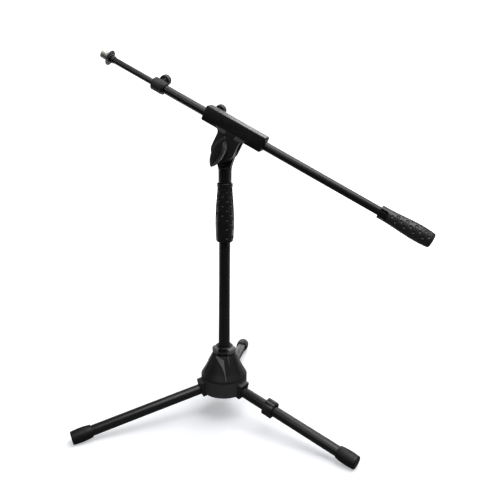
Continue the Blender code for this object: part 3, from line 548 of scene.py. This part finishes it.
def dimples(rows, start, count, phase, skip):
    """Centres of staggered round dimples as (angle, height), and a surface function that presses them in."""
    centres = []
    for row in range(rows):
        for k in range(count):
            angle = phase + (k + 0.5 * (row % 2)) * 360.0 / count
            if not skip(row, (angle - phase + 180) % 360 - 180):
                centres.append((math.radians(angle), start + row * DIMPLE_PITCH))

    def press(outer, angles, height):
        radii = np.full(len(angles), outer)
        for angle, centre in centres:
            up = height - centre
            if abs(up) > DIMPLE_RADIUS * 1.5:
                continue
            across = (np.mod(angles - angle + math.pi, 2 * math.pi) - math.pi) * outer
            share = np.sqrt(across ** 2 + up ** 2) / DIMPLE_RADIUS
            bowl = np.sqrt(np.clip(1 - share ** 2, 0, None))
            rim = np.exp(-((share - 1.1) / 0.13) ** 2) * 0.12
            radii = radii + DIMPLE_DEPTH * (rim - bowl)
        return radii

    return press


def build_clutch():
    inner = CLUTCH_SLEEVE_RADIUS + FIT_GAP
    top = COLUMN_TOP - FIT_GAP
    outer = [
        (inner, top, 0), (0.0133, top, 0.0005), (0.0137, 0.4500, 0.002), (0.0137, 0.4460, 0.006),
        (0.0151, 0.4310, 0.02), (0.0162, 0.4160, 0.02), (0.0168, 0.4020, 0.02), (0.0170, 0.3880, 0.02),
        (0.0167, 0.3730, 0.02), (0.0163, 0.3610, 0.01), (0.0158, GRIP_BOTTOM + 0.0018, 0.0020),
        (0.0140, GRIP_BOTTOM, 0.0012), (inner, GRIP_BOTTOM, 0),
    ]
    press = dimples(11, 0.3646, 7, CAMERA_AZIMUTH + 13.0,
                    lambda row, angle: row in (1, 2, 3) and -85 < angle < -10)

    def surface(radius, angles, height):
        if radius < 0.0130 or not 0.3570 < height < 0.4495:
            return np.full(len(angles), radius)
        return press(radius, angles, height)

    lathe("clutch_grip", outer, STAND, SOFT_GRIP, "height_clutch", "soft_grip", ("clutch_grip",),
          steps=220, surface=surface, step=0.00055)
    bore = COLUMN_RADIUS + 0.0005
    flange = [(bore, 0.4612, 0.0003), (0.0134, 0.4612, 0.0008), (0.0140, 0.4600, 0.0008),
              (0.0140, 0.4545, 0.0010), (0.0133, COLUMN_TOP + 0.0002, 0.0006), (bore, COLUMN_TOP + 0.0002)]
    lathe("clutch_flange_ring", flange, STAND, MOULDED, "height_clutch", "hard_plastic", ("clutch_flange",))


def build_boom_grip():
    bore = BOOM_RADIUS + FIT_GAP
    end, crown, root = 0.3812, 0.2823, 0.2975
    profile = [
        (0, end), (0.0112, end, 0.0010), (0.0130, end - 0.0012, 0.0018), (0.0137, end - 0.0060, 0.004),
        (0.0144, end - 0.0160, 0.02), (0.0147, 0.3540, 0.02), (0.0145, 0.3440, 0.02), (0.0139, 0.3330, 0.02),
        (0.0130, 0.3200, 0.02), (0.0121, 0.3060, 0.02), (0.0118, root, 0.01), (0.0118, crown + 0.0003, 0.0006),
        (0.0093, crown, 0.0005), (0.0093, root, 0.0002), (bore, root, 0.0002),
        (bore, BOOM_REAR + FIT_GAP), (0, BOOM_REAR + FIT_GAP),
    ]
    press = dimples(9, 0.3045, 8, -116.5, lambda row, angle: 30 < angle < 110)

    def surface(radius, angles, height):
        if radius < 0.0117 or not 0.2990 < height < end - 0.0020:
            return np.full(len(angles), radius)
        return press(radius, angles, height)

    rounded = refine(fillet(profile, 0.0005, closed=False), 0.00055, closed=False)
    grip = object_from("boom_grip", lathe_shape(rounded, 200, surface), BOOM, BOOM_GRIP_RUBBER)
    half, corner = 0.0082, 0.0040
    outline = [(crown - 0.01, -half)] + arc(corner, -90, 0, 5, (root - corner - 0.0001, -half + corner))
    outline += arc(corner, 0, 90, 5, (root - corner - 0.0001, half - corner)) + [(crown - 0.01, half)]
    place = CLAMP @ shift(0, 0, BOOM_OFFSET) @ PLAN_UPRIGHT
    boolean(grip, helper("crown_gap", prism_shape(outline, -0.02, 0.02), place), "DIFFERENCE")
    settle(grip)
    piece(grip, "boom_outer", "soft_grip", "boom_grip")


# ---------------------------------------------------------------- tubes and turned pieces
def build_tubes():
    tube("column_tube", COLUMN_RADIUS, 0.0012, COLUMN_BOTTOM, COLUMN_TOP, STAND, POWDER_COAT, "base",
         "powder_coated_steel", ("column_outer_tube",))
    tube("inner_column", INNER_COLUMN_RADIUS, 0.0012, 0.1050, 0.4825, STAND, ZINC, "inner_column",
         "zinc_plated_steel", ("column_inner_tube",))
    tube("boom_tube", BOOM_RADIUS, 0.0012, BOOM_FRONT, BOOM_REAR, BOOM, POWDER_COAT, "boom_outer",
         "powder_coated_steel", ("boom_outer_tube",))
    tube("boom_extension_tube", INNER_BOOM_RADIUS, 0.0010, -0.2520, 0.0450, BOOM, POWDER_COAT, "boom_inner",
         "powder_coated_steel", ("boom_inner_tube",))
    bushing = [(COLUMN_RADIUS + FIT_GAP, HUB_TOP + 0.0006, 0.0004), (0.0142, HUB_TOP + 0.0006, 0.0008),
               (0.0150, HUB_TOP - 0.0002, 0.0006), (0.0150, 0.1360), (COLUMN_RADIUS + FIT_GAP, 0.1360)]
    lathe("column_bushing", bushing, STAND, MOULDED, "base", "hard_plastic", ("hub_bushing",))


def build_legs():
    for side, place in LEG_FRAMES.items():
        body = f"leg_{side}"
        along = place @ turn(90, "Y")
        tube_end = LEG_LENGTH - 0.0050
        tube(f"leg_tube_coated_{side}", LEG_TUBE_RADIUS, 0.0012, 0.0048, tube_end, along, POWDER_COAT, body,
             "powder_coated_steel", (f"leg_tube_{side}",))
        neck = LEG_LENGTH - FOOT_LENGTH
        bore = LEG_TUBE_RADIUS + FIT_GAP
        profile = [
            (0, LEG_LENGTH), (0.0112, LEG_LENGTH, 0.0012), (0.0124, LEG_LENGTH - 0.0014, 0.0016),
            (0.0130, LEG_LENGTH - 0.0090, 0.01), (0.0133, LEG_LENGTH - 0.0165, 0.02),
            (0.0130, neck + 0.0115, 0.01), (0.0123, neck + 0.0045, 0.006), (0.0117, neck, 0.0007),
            (bore, neck, 0.0004), (bore, tube_end + FIT_GAP), (0, tube_end + FIT_GAP),
        ]
        rounded = refine(fillet(profile, 0.0006, closed=False), 0.0015, closed=False)
        foot = object_from(f"foot_{side}", lathe_shape(rounded, 96), along, FOOT_RUBBER)
        ground = STAND @ turn(LEG_YAWS[side], "Z")
        slab = [(-0.1, -0.1), (0.4, -0.1), (0.4, 0.1), (-0.1, 0.1)]
        boolean(foot, helper("ground", prism_shape(slab, -0.05, FLOOR_HEIGHT + 0.0001), ground), "DIFFERENCE")
        settle(foot)
        piece(foot, body, "foot_rubber", f"leg_foot_{side}")
        build_knuckle(side, place, along, body)


def build_knuckle(side, place, along, body):
    heel = arc(0.0115, 100, 245, 20)
    outline = heel + [(0.0190, -0.0122), (0.0190, 0.0165), (0.0040, 0.0165)]
    half = KNUCKLE_HALF_WIDTH
    knuckle = object_from(f"knuckle_{side}", prism_shape(outline, -half, half), place @ PLAN_UPRIGHT, MOULDED)
    bore = LEG_TUBE_RADIUS + FIT_GAP
    hole = [(0, 0.030), (bore, 0.030), (bore, 0.0045), (0, 0.0045)]
    boolean(knuckle, helper("socket", lathe_shape(hole, 64), along), "DIFFERENCE")
    pin = [(0, 0.018), (0.0033, 0.018), (0.0033, -0.018), (0, -0.018)]
    boolean(knuckle, helper("pin", lathe_shape(pin, 32), place @ turn(-90, "X")), "DIFFERENCE")
    settle(knuckle)
    bevel(knuckle, 0.0007)
    settle(knuckle)
    piece(knuckle, body, "hard_plastic", f"leg_knuckle_{side}")


def build_leg_clip():
    inner = LEG_TUBE_RADIUS + FIT_GAP
    slit, ear, top, side = 0.0012, 0.0075, 0.0150, 0.0124
    slit_angle = math.degrees(math.asin(slit / inner))
    outline = [(slit, top), (ear, top), (ear, side)]
    outline += arc(0.005, 90, 0, 6, (side - 0.005, side - 0.005))
    outline += arc(0.005, 0, -90, 6, (side - 0.005, -side + 0.005))
    outline += arc(0.005, -90, -180, 6, (-side + 0.005, -side + 0.005))
    outline += arc(0.005, 180, 90, 6, (-side + 0.005, side - 0.005))
    outline += [(-ear, side), (-ear, top), (-slit, top)]
    outline += arc(inner, 90 + slit_angle, 450 - slit_angle, 64)
    place = LEG_FRAMES["right"] @ shift(0.0815, 0, 0) @ turn(90, "Z") @ turn(90, "X")
    clip = object_from("cable_clip", prism_shape(outline, -0.0100, 0.0100), place, MOULDED)
    bevel(clip, 0.0006)
    settle(clip)
    piece(clip, "leg_clip", "hard_plastic", "leg_clip")


# ---------------------------------------------------------------- tilting head
def build_head():
    bore = INNER_COLUMN_RADIUS + FIT_GAP
    top, low = 0.4890, 0.4618
    socket = [(0, top + 0.0030), (0.0074, top + 0.0030), (HEAD_SOCKET_RADIUS, top - 0.0010, 0.002),
              (HEAD_SOCKET_RADIUS, low + 0.0008, 0.0006), (HEAD_SOCKET_RADIUS - 0.0008, low, 0.0004),
              (bore, low, 0.0003), (bore, 0.4828), (0, 0.4828)]
    head = object_from("tilting_head", lathe_shape(fillet(socket, 0.0003, closed=False), 96), STAND, CAST_COAT)
    disc = arc(0.0204, -30, 210, 61, (0, TILT_HEIGHT))
    flare = [(-0.0156, 0.5020), (-0.0130, 0.4950), (-0.0112, 0.4880), (-0.0108, 0.4850)]
    outline = disc + flare + [(-x, z) for x, z in reversed(flare)]
    tongue = helper("tongue", prism_shape(outline, -0.0055, 0.0055), STAND @ PLAN_UPRIGHT)
    boolean(head, tongue, "UNION")
    hole = [(0, 0.02), (TILT_BORE, 0.02), (TILT_BORE, -0.02), (0, -0.02)]
    pivot = STAND @ shift(0, 0, TILT_HEIGHT) @ turn(-90, "X")
    boolean(head, helper("hole", lathe_shape(hole, 32), pivot), "DIFFERENCE")
    screw = [(0, 0.02), (0.0028, 0.02), (0.0028, 0.004), (0, 0.004)]
    boolean(head, helper("screw", lathe_shape(screw, 24), STAND @ shift(0, 0, 0.47) @ turn(-90, "X")), "DIFFERENCE")
    settle(head)
    bevel(head, 0.0006)
    settle(head)
    piece(head, "tilt_head", "cast_zinc_black", "tilt_head")


# ---------------------------------------------------------------- clamp
def rounded_box(half_y, half_z, radius):
    corners = ((1, 1, 0), (-1, 1, 90), (-1, -1, 180), (1, -1, 270))
    outline = []
    for sign_y, sign_z, start in corners:
        outline += arc(radius, start, start + 90, 5, (sign_y * (half_y - radius), sign_z * (half_z - radius)))
    return outline


def build_clamp():
    ends = BLOCK_HALF_LENGTH
    sections = ((-ends, 0.0024, 0.0028), (-ends + 0.0006, 0.0010, 0.0020), (-ends + 0.0022, 0.0001, 0.0014),
                (-ends + 0.0040, 0.0, 0.0012), (ends - 0.0040, 0.0, 0.0012), (ends - 0.0022, 0.0001, 0.0014),
                (ends - 0.0006, 0.0010, 0.0020), (ends, 0.0024, 0.0028))
    rings = [[(x, y, z) for y, z in rounded_box(BLOCK_HALF_WIDTH - inset, BLOCK_HALF_HEIGHT - inset, radius)]
             for x, inset, radius in sections]
    shape = grid_shape(rings, closed_down=False)
    edges = [edge for edge in shape.edges if edge.is_boundary]
    bmesh.ops.holes_fill(shape, edges=edges)
    block = object_from("clamp_body", shape, CLAMP @ shift(0, 0, BOOM_OFFSET + BLOCK_RISE), CAST_COAT)
    underside = BOOM_OFFSET + BLOCK_RISE - BLOCK_HALF_HEIGHT
    flare = arc(0.0070, 180, 90, 8, (0.0280, underside - 0.0062))
    lobe = arc(0.0210, 180, 360, 41)
    cheek = lobe + flare + [(0.0285, underside + 0.0040), (-0.0285, underside + 0.0040)]
    cheek += [(-x, z) for x, z in reversed(flare)]
    for low, high in ((0.0090, 0.0160), (-0.0160, -0.0090)):
        boolean(block, helper("cheek", prism_shape(cheek, low, high), CLAMP @ PLAN_UPRIGHT), "UNION")
    for side in (-1, 1):
        slope = [(side * 0.0127, underside + 0.0045), (side * 0.0165, underside + 0.0045),
                 (side * 0.0165, underside - 0.0012), (side * 0.0152, underside - 0.0012)]
        for low, high in ((-0.0300, -0.0085), (0.0085, 0.0300)):
            wedge = helper("slope", prism_shape(slope, low, high), CLAMP @ turn(90, "Z") @ turn(90, "X"))
            boolean(block, wedge, "DIFFERENCE")
    boss = [(0, 0.0265), (0.0062, 0.0265), (0.0069, 0.0180), (0.0069, 0.0105), (0, 0.0105)]
    knob = CLAMP @ shift(CLAMP_KNOB_PLACE, 0, BOOM_OFFSET) @ KNOB_TURN
    boolean(block, helper("boss", lathe_shape(boss, 40), knob), "UNION")
    bore = [(0, 0.08), (0.0096, 0.08), (0.0096, -0.08), (0, -0.08)]
    boolean(block, helper("bore", lathe_shape(bore, 64), BOOM), "DIFFERENCE")
    hole = [(0, 0.03), (TILT_BORE, 0.03), (TILT_BORE, -0.03), (0, -0.03)]
    boolean(block, helper("hole", lathe_shape(hole, 32), CLAMP @ turn(-90, "X")), "DIFFERENCE")
    screw = [(0, 0.03), (KNOB_SCREW_BORE, 0.03), (KNOB_SCREW_BORE, 0), (0, 0)]
    boolean(block, helper("screw", lathe_shape(screw, 32), knob), "DIFFERENCE")
    settle(block)
    piece(block, "boom_clamp", "cast_zinc_black", "clamp_block")


def build_handle():
    """Leaf-shaped wing with a crest along it, on a round stem."""
    root, crest = -0.0345, -0.0500
    half_length, half_width = 0.0290, 0.0112
    sections = ((0.80, 0.93, 0.0), (0.93, 0.97, 0.05), (1.0, 1.0, 0.16), (0.995, 0.995, 0.26), (0.90, 0.975, 0.42),
                (0.73, 0.945, 0.60), (0.51, 0.915, 0.78), (0.27, 0.885, 0.92), (0.09, 0.86, 0.985), (0.03, 0.84, 1.0))
    rings = []
    for width, length, share in sections:
        ring = []
        for angle in np.linspace(0, 2 * math.pi, 64, endpoint=False):
            across = math.copysign(abs(math.sin(angle)) ** 1.35, math.sin(angle)) * width
            ring.append(((across + 0.36 * share * (1 - width)) * half_width, root + (crest - root) * share,
                         math.cos(angle) * half_length * length))
        rings.append(ring)
    shape = grid_shape(rings, closed_down=False)
    bmesh.ops.holes_fill(shape, edges=[edge for edge in shape.edges if edge.is_boundary])
    handle = object_from("wing_handle", shape, CLAMP, MOULDED)
    bolt_axis = CLAMP @ turn(-90, "X")
    stem = [(0, -0.0155), (0.0095, -0.0155), (0.0095, -0.0300), (0.0080, root - 0.0020), (0, root - 0.0020)]
    boolean(handle, helper("stem", lathe_shape(stem, 64), bolt_axis), "UNION")
    socket = [(0, -0.0100), (0.0072, -0.0100), (0.0072, -0.0255),
              (TILT_BORE, -0.0255), (TILT_BORE, -0.0305), (0, -0.0305)]
    boolean(handle, helper("socket", lathe_shape(socket, 32), bolt_axis), "DIFFERENCE")
    settle(handle)
    piece(handle, "tilt_handle", "hard_plastic", "tilt_handle")


def build_knobs():
    for name, offset, base in (("clamp_knob", CLAMP_KNOB_PLACE, 0.0320),
                               ("extension_knob", EXTENSION_KNOB_PLACE, 0.0270)):
        top, radius = base + 0.0120, 0.0100
        profile = [
            (0, top), (radius * 0.55, top + 0.0001, 0.004), (radius * 0.86, top - 0.0010, 0.002),
            (radius, top - 0.0032, 0.0018), (radius, base + 0.0004, 0.0008), (radius - 0.0008, base, 0.0004),
            (radius - 0.0022, base, 0.0004), (radius - 0.0026, base + 0.0050, 0.0006),
            (0.0060, base + 0.0050, 0.0004), (0.0056, base - 0.0010, 0.0003),
            (KNOB_SCREW_BORE, base - 0.0010), (KNOB_SCREW_BORE, base + 0.0070), (0, base + 0.0070),
        ]

        def flutes(outer, angles, height):
            radii = np.full(len(angles), outer)
            if outer > 0.0093 and base < height < top:
                radii = radii - 0.00022 * (1 + np.cos(angles * 24)) / 2
            return radii

        place = CLAMP @ shift(offset, 0, BOOM_OFFSET) @ KNOB_TURN
        lathe(f"{name}_moulding", profile, place, KNOB_PLASTIC, name, "hard_plastic", (name,), steps=192,
              surface=flutes, step=0.0012)


# ---------------------------------------------------------------- boom fittings
def build_collar():
    over_tube, over_inner = BOOM_RADIUS + FIT_GAP, INNER_BOOM_RADIUS + FIT_GAP
    front, rear, radius = -0.1665, -0.1420, 0.0117
    step = BOOM_FRONT - FIT_GAP
    profile = [
        (over_tube, rear, 0.0003), (0.0108, rear, 0.0006), (0.0111, rear - 0.0010, 0.0006),
        (0.0111, rear - 0.0030, 0.0003), (radius, rear - 0.0034, 0.0004), (radius, front + 0.0016, 0.0010),
        (radius - 0.0016, front, 0.0008), (over_inner, front, 0.0003), (over_inner, step), (over_tube, step),
    ]

    def ribs(outer, angles, height):
        radii = np.full(len(angles), outer)
        if outer > 0.0112 and front + 0.002 < height < rear - 0.0034:
            radii = radii - 0.00032 * (1 + np.cos(angles * 30)) / 2
        return radii

    rounded = refine(fillet(profile, 0.0003), 0.0012)
    collar = object_from("extension_collar_ribbed", lathe_shape(rounded, 240, ribs), BOOM, MOULDED)
    boss = [(0, 0.0205), (0.0050, 0.0205), (0.0058, 0.0150), (0.0058, 0.0095), (0, 0.0095)]
    place = CLAMP @ shift(EXTENSION_KNOB_PLACE, 0, BOOM_OFFSET) @ KNOB_TURN
    boolean(collar, helper("boss", lathe_shape(boss, 40), place), "UNION")
    screw = [(0, 0.03), (KNOB_SCREW_BORE, 0.03), (KNOB_SCREW_BORE, 0), (0, 0)]
    boolean(collar, helper("screw", lathe_shape(screw, 24), place), "DIFFERENCE")
    settle(collar)
    piece(collar, "boom_outer", "hard_plastic", "extension_collar")


THREAD_PITCH = 0.00094
THREAD_DEPTH = 0.00042


def thread(radius, angles, height):
    """Radius of a helical thread."""
    phase = np.mod(height / THREAD_PITCH - angles / (2 * math.pi), 1.0)
    return radius - THREAD_DEPTH * (1 - np.abs(2 * phase - 1)) ** 0.9


def build_tip():
    tip, shoulder = -0.2735, -0.2527
    stub = INNER_BOOM_RADIUS - 0.0013
    profile = [(0, tip), (0.0048, tip, 0.0003), (0.0052, tip + 0.0008, 0.0003), (0.0062, tip, 0.0003),
               (0.0079 - 0.0012, tip, 0.0003), (0.0079, tip + 0.0012, 0.0003),
               (0.0079, shoulder, 0.0002), (stub, shoulder), (stub, -0.2300), (0, -0.2300)]

    def surface(radius, angles, height):
        if radius > 0.0070 and tip + 0.0006 < height < shoulder - 0.0004:
            return thread(radius, angles, height)
        return np.full(len(angles), radius)

    rounded = refine(fillet(profile, 0.0002, closed=False), 0.00016, closed=False)
    last = len(rounded) - 1
    coarse = [point for i, point in enumerate(rounded) if point[1] < shoulder + 0.001 or i % 8 == 0 or i == last]
    stud = object_from("threaded_stud", lathe_shape(coarse, 96, surface), BOOM, NICKEL)
    stud.data.materials.append(POWDER_COAT)
    coat_edge = -0.2556
    inward = BOOM.inverted()
    for face in stud.data.polygons:
        face.material_index = int((inward @ stud.matrix_world @ face.center).z > coat_edge)
    piece(stud, "boom_inner", "nickel_plate", "mic_stud")
    flange = [(0.0082, -0.2555, 0.0002), (0.0105, -0.2553, 0.0004), (0.0134, -0.2557, 0.0006),
              (0.0138, -0.2565, 0.0006), (0.0138, -0.2574, 0.0005), (0.0132, -0.2580, 0.0005),
              (0.0082, -0.2580, 0.0002)]
    lathe("round_lock_flange", flange, BOOM, KNOB_PLASTIC, "lock_flange", "hard_plastic", ("lock_flange",), steps=128)
    ferrule = [(0.0058, -0.2475, 0.0002), (0.0066, -0.2475, 0.0005), (0.0066, -0.2524, 0.0004),
               (0.0058, -0.2524, 0.0002)]
    lathe("tip_ferrule", ferrule, BOOM, DARK_STEEL, "boom_inner", "black_steel", ("boom_tip_ferrule",))


# ---------------------------------------------------------------- pieces that keep their CAD shape
def finish_frame_nodes():
    looks = {
        "clutch_collet": LINER, "clamp_liner": LINER, "extension_liner": LINER, "boom_guide_plug": LINER,
        "column_guide_bush": LINER, "friction_disc_front": FOOT_RUBBER, "friction_disc_rear": FOOT_RUBBER,
        "column_base_plug": ZINC, "base_washer": ZINC, "base_bolt": ZINC, "tilt_handle_nut": ZINC,
        "clamp_knob_screw": ZINC, "extension_knob_screw": ZINC, "head_set_screw": DARK_STEEL,
        "tilt_bolt": DARK_STEEL, "tilt_washer": DARK_STEEL, "clutch_sleeve": MOULDED,
    }
    for side in LEG_YAWS:
        looks[f"leg_pivot_bolt_{side}"] = ZINC
        looks[f"leg_pivot_nut_{side}"] = ZINC
    for name, material in looks.items():
        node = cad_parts[name]
        for slot in node.material_slots:
            slot.material = material
        smooth(node, 32)


# ---------------------------------------------------------------- stage
def directional_world(tree, towards, low, high, start, end):
    """Brightness of the surroundings: low away from the direction towards, rising to high along it."""
    where = tree.nodes.new("ShaderNodeTexCoord")
    dot = tree.nodes.new("ShaderNodeVectorMath")
    dot.operation = "DOT_PRODUCT"
    dot.inputs[1].default_value = Vector(towards).normalized()
    tree.links.new(where.outputs["Generated"], dot.inputs[0])
    return remap(tree, dot.outputs["Value"], low, high, start, end)


def floor_finish():
    """White paper that glows further out, so that it has no visible end. The object reflects a darker floor, with one
    bright patch behind it."""
    material, shader = new_material("pale_floor", (0.80, 0.81, 0.84), 0.9)
    tree = material.node_tree
    where = tree.nodes.new("ShaderNodeTexCoord")
    distance = tree.nodes.new("ShaderNodeVectorMath")
    distance.operation = "LENGTH"
    tree.links.new(where.outputs["Object"], distance.inputs[0])
    shader.inputs["Emission Color"].default_value = (0.97, 0.985, 1.0, 1)
    tree.links.new(remap(tree, distance.outputs["Value"], 0.33, 1.3, 0.2, 1.4), shader.inputs["Emission Strength"])
    behind = tree.nodes.new("ShaderNodeVectorMath")
    behind.operation = "DOT_PRODUCT"
    behind.inputs[1].default_value = (-0.27, 0.96, 0)
    tree.links.new(where.outputs["Object"], behind.inputs[0])
    dim = tree.nodes.new("ShaderNodeBsdfDiffuse")
    shade = blend_colours(tree, remap(tree, behind.outputs["Value"], 0, 1, -0.8, -0.1), (0.04, 0.04, 0.042),
                          (0.16, 0.163, 0.166))
    tree.links.new(shade, dim.inputs["Color"])
    patch = tree.nodes.new("ShaderNodeValToRGB")
    for position, level in ((0.12, 0.0), (0.19, 0.8), (0.31, 0.8), (0.43, 0.03)):
        stop = patch.color_ramp.elements.new(position)
        stop.color = (level, level, level, 1)
    tree.links.new(maths(tree, "DIVIDE", behind.outputs["Value"], 2.5), patch.inputs["Fac"])
    patch.color_ramp.elements[0].color = (0, 0, 0, 1)
    patch.color_ramp.elements[-1].color = (0.03, 0.03, 0.03, 1)
    glowing = tree.nodes.new("ShaderNodeEmission")
    glowing.inputs["Strength"].default_value = 3.0
    tree.links.new(patch.outputs["Color"], glowing.inputs["Color"])
    reflected = tree.nodes.new("ShaderNodeAddShader")
    tree.links.new(dim.outputs[0], reflected.inputs[0])
    tree.links.new(glowing.outputs[0], reflected.inputs[1])
    path = tree.nodes.new("ShaderNodeLightPath")
    mix = tree.nodes.new("ShaderNodeMixShader")
    tree.links.new(path.outputs["Is Camera Ray"], mix.inputs[0])
    tree.links.new(reflected.outputs[0], mix.inputs[1])
    tree.links.new(shader.outputs[0], mix.inputs[2])
    tree.links.new(mix.outputs[0], tree.nodes["Material Output"].inputs["Surface"])
    return material


def build_stage():
    shape = bmesh.new()
    size = 12.0
    shape.faces.new([shape.verts.new(corner) for corner in
                     ((-size, -size, 0), (size, -size, 0), (size, size, 0), (-size, size, 0))])
    object_from("floor", shape, Matrix.Identity(4), floor_finish())

    world = bpy.data.worlds.new("studio")
    bpy.context.scene.world = world
    world.use_nodes = True
    tree = world.node_tree
    background = tree.nodes["Background"]
    background.inputs["Color"].default_value = (0.94, 0.965, 1.0, 1)
    brightness = directional_world(tree, (-0.27, 1.0, 0.30), 0.048, 0.20, 0.30, 0.90)
    tree.links.new(brightness, background.inputs["Strength"])
    path = tree.nodes.new("ShaderNodeLightPath")
    seen = tree.nodes.new("ShaderNodeBackground")
    seen.inputs["Color"].default_value = (1, 1, 1, 1)
    seen.inputs["Strength"].default_value = 1.6
    mix = tree.nodes.new("ShaderNodeMixShader")
    tree.links.new(path.outputs["Is Camera Ray"], mix.inputs[0])
    tree.links.new(background.outputs[0], mix.inputs[1])
    tree.links.new(seen.outputs[0], mix.inputs[2])
    tree.links.new(mix.outputs[0], tree.nodes["World Output"].inputs["Surface"])

    lights = (("overhead", (0.60, -0.05, 2.2), (0.55, -0.05, 0.2), 2.4, 1.7, 52),
              ("front_high", (-0.55, -1.75, 1.50), (0, 0, 0.12), 1.6, 0.6, 7.5),
              ("back_high", (0.2, 2.3, 1.60), (0, 0, 0.5), 1.0, 0.6, 9.0),
              ("back_low", (-0.62, 2.3, 0.70), (0, 0.15, 0.05), 0.7, 0.5, 3.0),
              ("right_strip", (1.9, -0.5, 0.55), (0, 0, 0.3), 0.5, 1.2, 1.5))
    for name, position, target, width, height, power in lights:
        lamp = bpy.data.lights.new(name, "AREA")
        lamp.shape = "RECTANGLE"
        lamp.size, lamp.size_y, lamp.energy = width, height, power
        obj = bpy.data.objects.new(name, lamp)
        bpy.context.scene.collection.objects.link(obj)
        obj.location = position
        obj.visible_camera = False
        obj.rotation_euler = (Vector(target) - Vector(position)).to_track_quat("-Z", "Y").to_euler()


def build_camera():
    camera = bpy.data.cameras.new("camera")
    camera.sensor_width = 36.0
    camera.lens = 44.5392
    obj = bpy.data.objects.new("camera", camera)
    bpy.context.scene.collection.objects.link(obj)
    forward = Vector((-0.25648381, 0.92276205, -0.28762172)).normalized()
    roll = -0.016869
    right = forward.cross(Vector((0, 0, 1))).normalized()
    up = right.cross(forward)
    across = right * math.cos(roll) - up * math.sin(roll)
    upward = right * math.sin(roll) + up * math.cos(roll)
    place = STAND @ Vector((0.33371559, -1.02811792, 0.66234632))
    obj.matrix_world = Matrix(((across.x, upward.x, -forward.x, place.x), (across.y, upward.y, -forward.y, place.y),
                               (across.z, upward.z, -forward.z, place.z), (0, 0, 0, 1)))
    bpy.context.scene.camera = obj


build_camera()
build_hub()
build_tubes()
build_clutch()
build_boom_grip()
build_legs()
build_leg_clip()
build_head()
build_clamp()
build_handle()
build_knobs()
build_collar()
build_tip()
finish_frame_nodes()
build_stage()
bpy.context.scene.view_settings.view_transform = "Standard"
